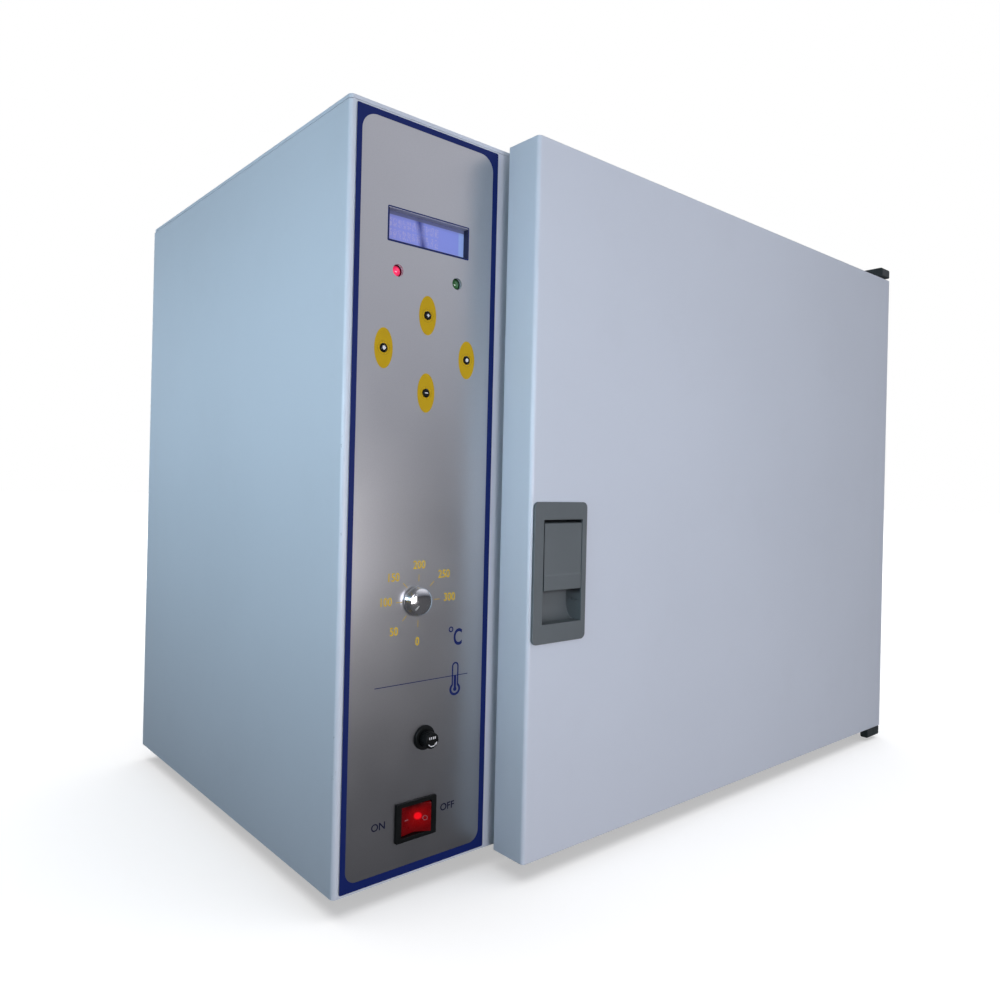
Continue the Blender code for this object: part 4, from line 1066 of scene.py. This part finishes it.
# --------------------------------------------------------------- floor and light
scene = bpy.context.scene
scene.view_settings.view_transform = "Standard"
scene.view_settings.look = "None"
scene.cycles.use_denoising = True
scene.cycles.max_bounces = 8
scene.cycles.sample_clamp_indirect = 6.0

floor_mat = bpy.data.materials.new("studio_floor")
floor_mat.use_nodes = True
nt = floor_mat.node_tree
nt.nodes.clear()
out = nt.nodes.new("ShaderNodeOutputMaterial")
fco = nt.nodes.new("ShaderNodeTexCoord")
flat = nt.nodes.new("ShaderNodeVectorMath")
flat.operation = "LENGTH"
nt.links.new(fco.outputs["Object"], flat.inputs[0])
far = nt.nodes.new("ShaderNodeMapRange")
far.interpolation_type = "SMOOTHSTEP"
far.inputs["From Min"].default_value = 0.7
far.inputs["From Max"].default_value = 2.2
nt.links.new(flat.outputs["Value"], far.inputs["Value"])
glow = nt.nodes.new("ShaderNodeEmission")
level = nt.nodes.new("ShaderNodeMapRange")
level.inputs["To Min"].default_value = 0.46
level.inputs["To Max"].default_value = 1.0
nt.links.new(far.outputs["Result"], level.inputs["Value"])
nt.links.new(level.outputs["Result"], glow.inputs["Strength"])
catch = nt.nodes.new("ShaderNodeBsdfDiffuse")
catch.inputs["Color"].default_value = (0.62, 0.62, 0.62, 1)
seen = nt.nodes.new("ShaderNodeAddShader")
nt.links.new(glow.outputs[0], seen.inputs[0])
nt.links.new(catch.outputs[0], seen.inputs[1])
dim = nt.nodes.new("ShaderNodeBsdfDiffuse")
dim.inputs["Color"].default_value = (0.085, 0.085, 0.090, 1)
path = nt.nodes.new("ShaderNodeLightPath")
pick = nt.nodes.new("ShaderNodeMixShader")
nt.links.new(path.outputs["Is Camera Ray"], pick.inputs[0])
nt.links.new(dim.outputs[0], pick.inputs[1])
nt.links.new(seen.outputs[0], pick.inputs[2])
nt.links.new(pick.outputs[0], out.inputs[0])

bm = bmesh.new()
bmesh.ops.create_grid(bm, x_segments=4, y_segments=4, size=14.0)
floor = to_object(bm, "studio_floor")
floor.data.materials.append(floor_mat)

only_floor = bpy.data.collections.new("floor_only")
only_floor.objects.link(floor)
all_but_floor = bpy.data.collections.new("all_but_floor")
all_but_floor.objects.link(floor)
all_but_floor.collection_objects[0].light_linking.link_state = "EXCLUDE"


def area(name, at, target, size, power, colour, size_y=None, spread=180):
    data = bpy.data.lights.new(name, "AREA")
    data.shape = "RECTANGLE"
    data.size = size
    data.size_y = size_y or size
    data.energy = power
    data.color = colour
    data.spread = math.radians(spread)
    ob = bpy.data.objects.new(name, data)
    bpy.context.scene.collection.objects.link(ob)
    ob.location = at
    ob.rotation_mode = "QUATERNION"
    ob.rotation_quaternion = (Vector(target) - Vector(at)).to_track_quat("-Z", "Y")
    ob.visible_camera = False
    ob.light_linking.receiver_collection = all_but_floor
    return ob


area("left_strip", (-0.90, -0.28, 0.37), (-0.335, -0.20, 0.365), 1.9, 2.45, (0.64, 0.86, 1.0), 0.16,
     spread=100)
area("left_high", (-1.0, 0.0, 0.66), (-0.335, 0.0, 0.34), 1.6, 0.3, (0.66, 0.86, 1.0), 0.25)
area("front_near", (-0.40, -1.1, 0.32), (-0.05, -0.2, 0.24), 0.5, 2.3, (0.90, 0.88, 1.0), 0.3)
area("front_low", (-0.08, -1.5, 0.10), (0.10, -0.2, 0.07), 0.8, 5.0, (1.0, 0.96, 0.97), 0.25)
area("top_fill", (0.38, 0.62, 2.2), (0.38, 0.62, 0.0), 1.2, 11.0, (0.96, 0.98, 1.0))
area("rear_soft", (1.9, 1.9, 0.9), (0.1, 0.1, 0.25), 1.3, 36.0, (0.95, 0.97, 1.0))
sky = area("floor_wash", (0.0, 0.0, 5.0), (0.0, 0.0, 0.0), 7.0, 350.0, (1.0, 1.0, 1.0))
sky.light_linking.receiver_collection = only_floor

world = bpy.data.worlds.new("studio")
scene.world = world
world.use_nodes = True
wt = world.node_tree
wt.nodes.clear()
wout = wt.nodes.new("ShaderNodeOutputWorld")
wco = wt.nodes.new("ShaderNodeTexCoord")
wsep = wt.nodes.new("ShaderNodeSeparateXYZ")
wt.links.new(wco.outputs["Generated"], wsep.inputs[0])
ramp = wt.nodes.new("ShaderNodeValToRGB")
shift = wt.nodes.new("ShaderNodeMath")
shift.operation = "MULTIPLY_ADD"
shift.inputs[1].default_value = 0.5
shift.inputs[2].default_value = 0.5
wt.links.new(wsep.outputs[2], shift.inputs[0])
wt.links.new(shift.outputs[0], ramp.inputs[0])
ramp.color_ramp.elements[0].position = 0.0
ramp.color_ramp.elements[0].color = (0.05, 0.05, 0.055, 1)
ramp.color_ramp.elements[1].position = 1.0
ramp.color_ramp.elements[1].color = (0.26, 0.27, 0.29, 1)
for at, c in ((0.49, (0.07, 0.07, 0.08)), (0.505, (0.16, 0.17, 0.20)), (0.55, (0.26, 0.27, 0.31)),
              (0.66, (0.14, 0.145, 0.16)), (0.80, (0.12, 0.125, 0.14))):
    e = ramp.color_ramp.elements.new(at)
    e.color = (*c, 1)
light_bg = wt.nodes.new("ShaderNodeBackground")
# a soft lobe high at the front right, which the metallic panel film mirrors
lobe = wt.nodes.new("ShaderNodeVectorMath")
lobe.operation = "DOT_PRODUCT"
wt.links.new(wco.outputs["Generated"], lobe.inputs[0])
lobe.inputs[1].default_value = Vector((0.56, -0.62, 0.52)).normalized()
soft = wt.nodes.new("ShaderNodeMapRange")
soft.interpolation_type = "SMOOTHSTEP"
soft.inputs["From Min"].default_value = 0.84
soft.inputs["From Max"].default_value = 0.98
wt.links.new(lobe.outputs["Value"], soft.inputs["Value"])
both = wt.nodes.new("ShaderNodeMix")
both.data_type = "RGBA"
both.blend_type = "ADD"
wt.links.new(soft.outputs["Result"], both.inputs[0])
wt.links.new(ramp.outputs[0], both.inputs[6])
both.inputs[7].default_value = (0.66, 0.66, 0.72, 1)
wt.links.new(both.outputs[2], light_bg.inputs[0])
light_bg.inputs[1].default_value = 1.0
white_bg = wt.nodes.new("ShaderNodeBackground")
white_bg.inputs[0].default_value = (1, 1, 1, 1)
wpath = wt.nodes.new("ShaderNodeLightPath")
wmix = wt.nodes.new("ShaderNodeMixShader")
wt.links.new(wpath.outputs["Is Camera Ray"], wmix.inputs[0])
wt.links.new(light_bg.outputs[0], wmix.inputs[1])
wt.links.new(white_bg.outputs[0], wmix.inputs[2])
wt.links.new(wmix.outputs[0], wout.inputs[0])
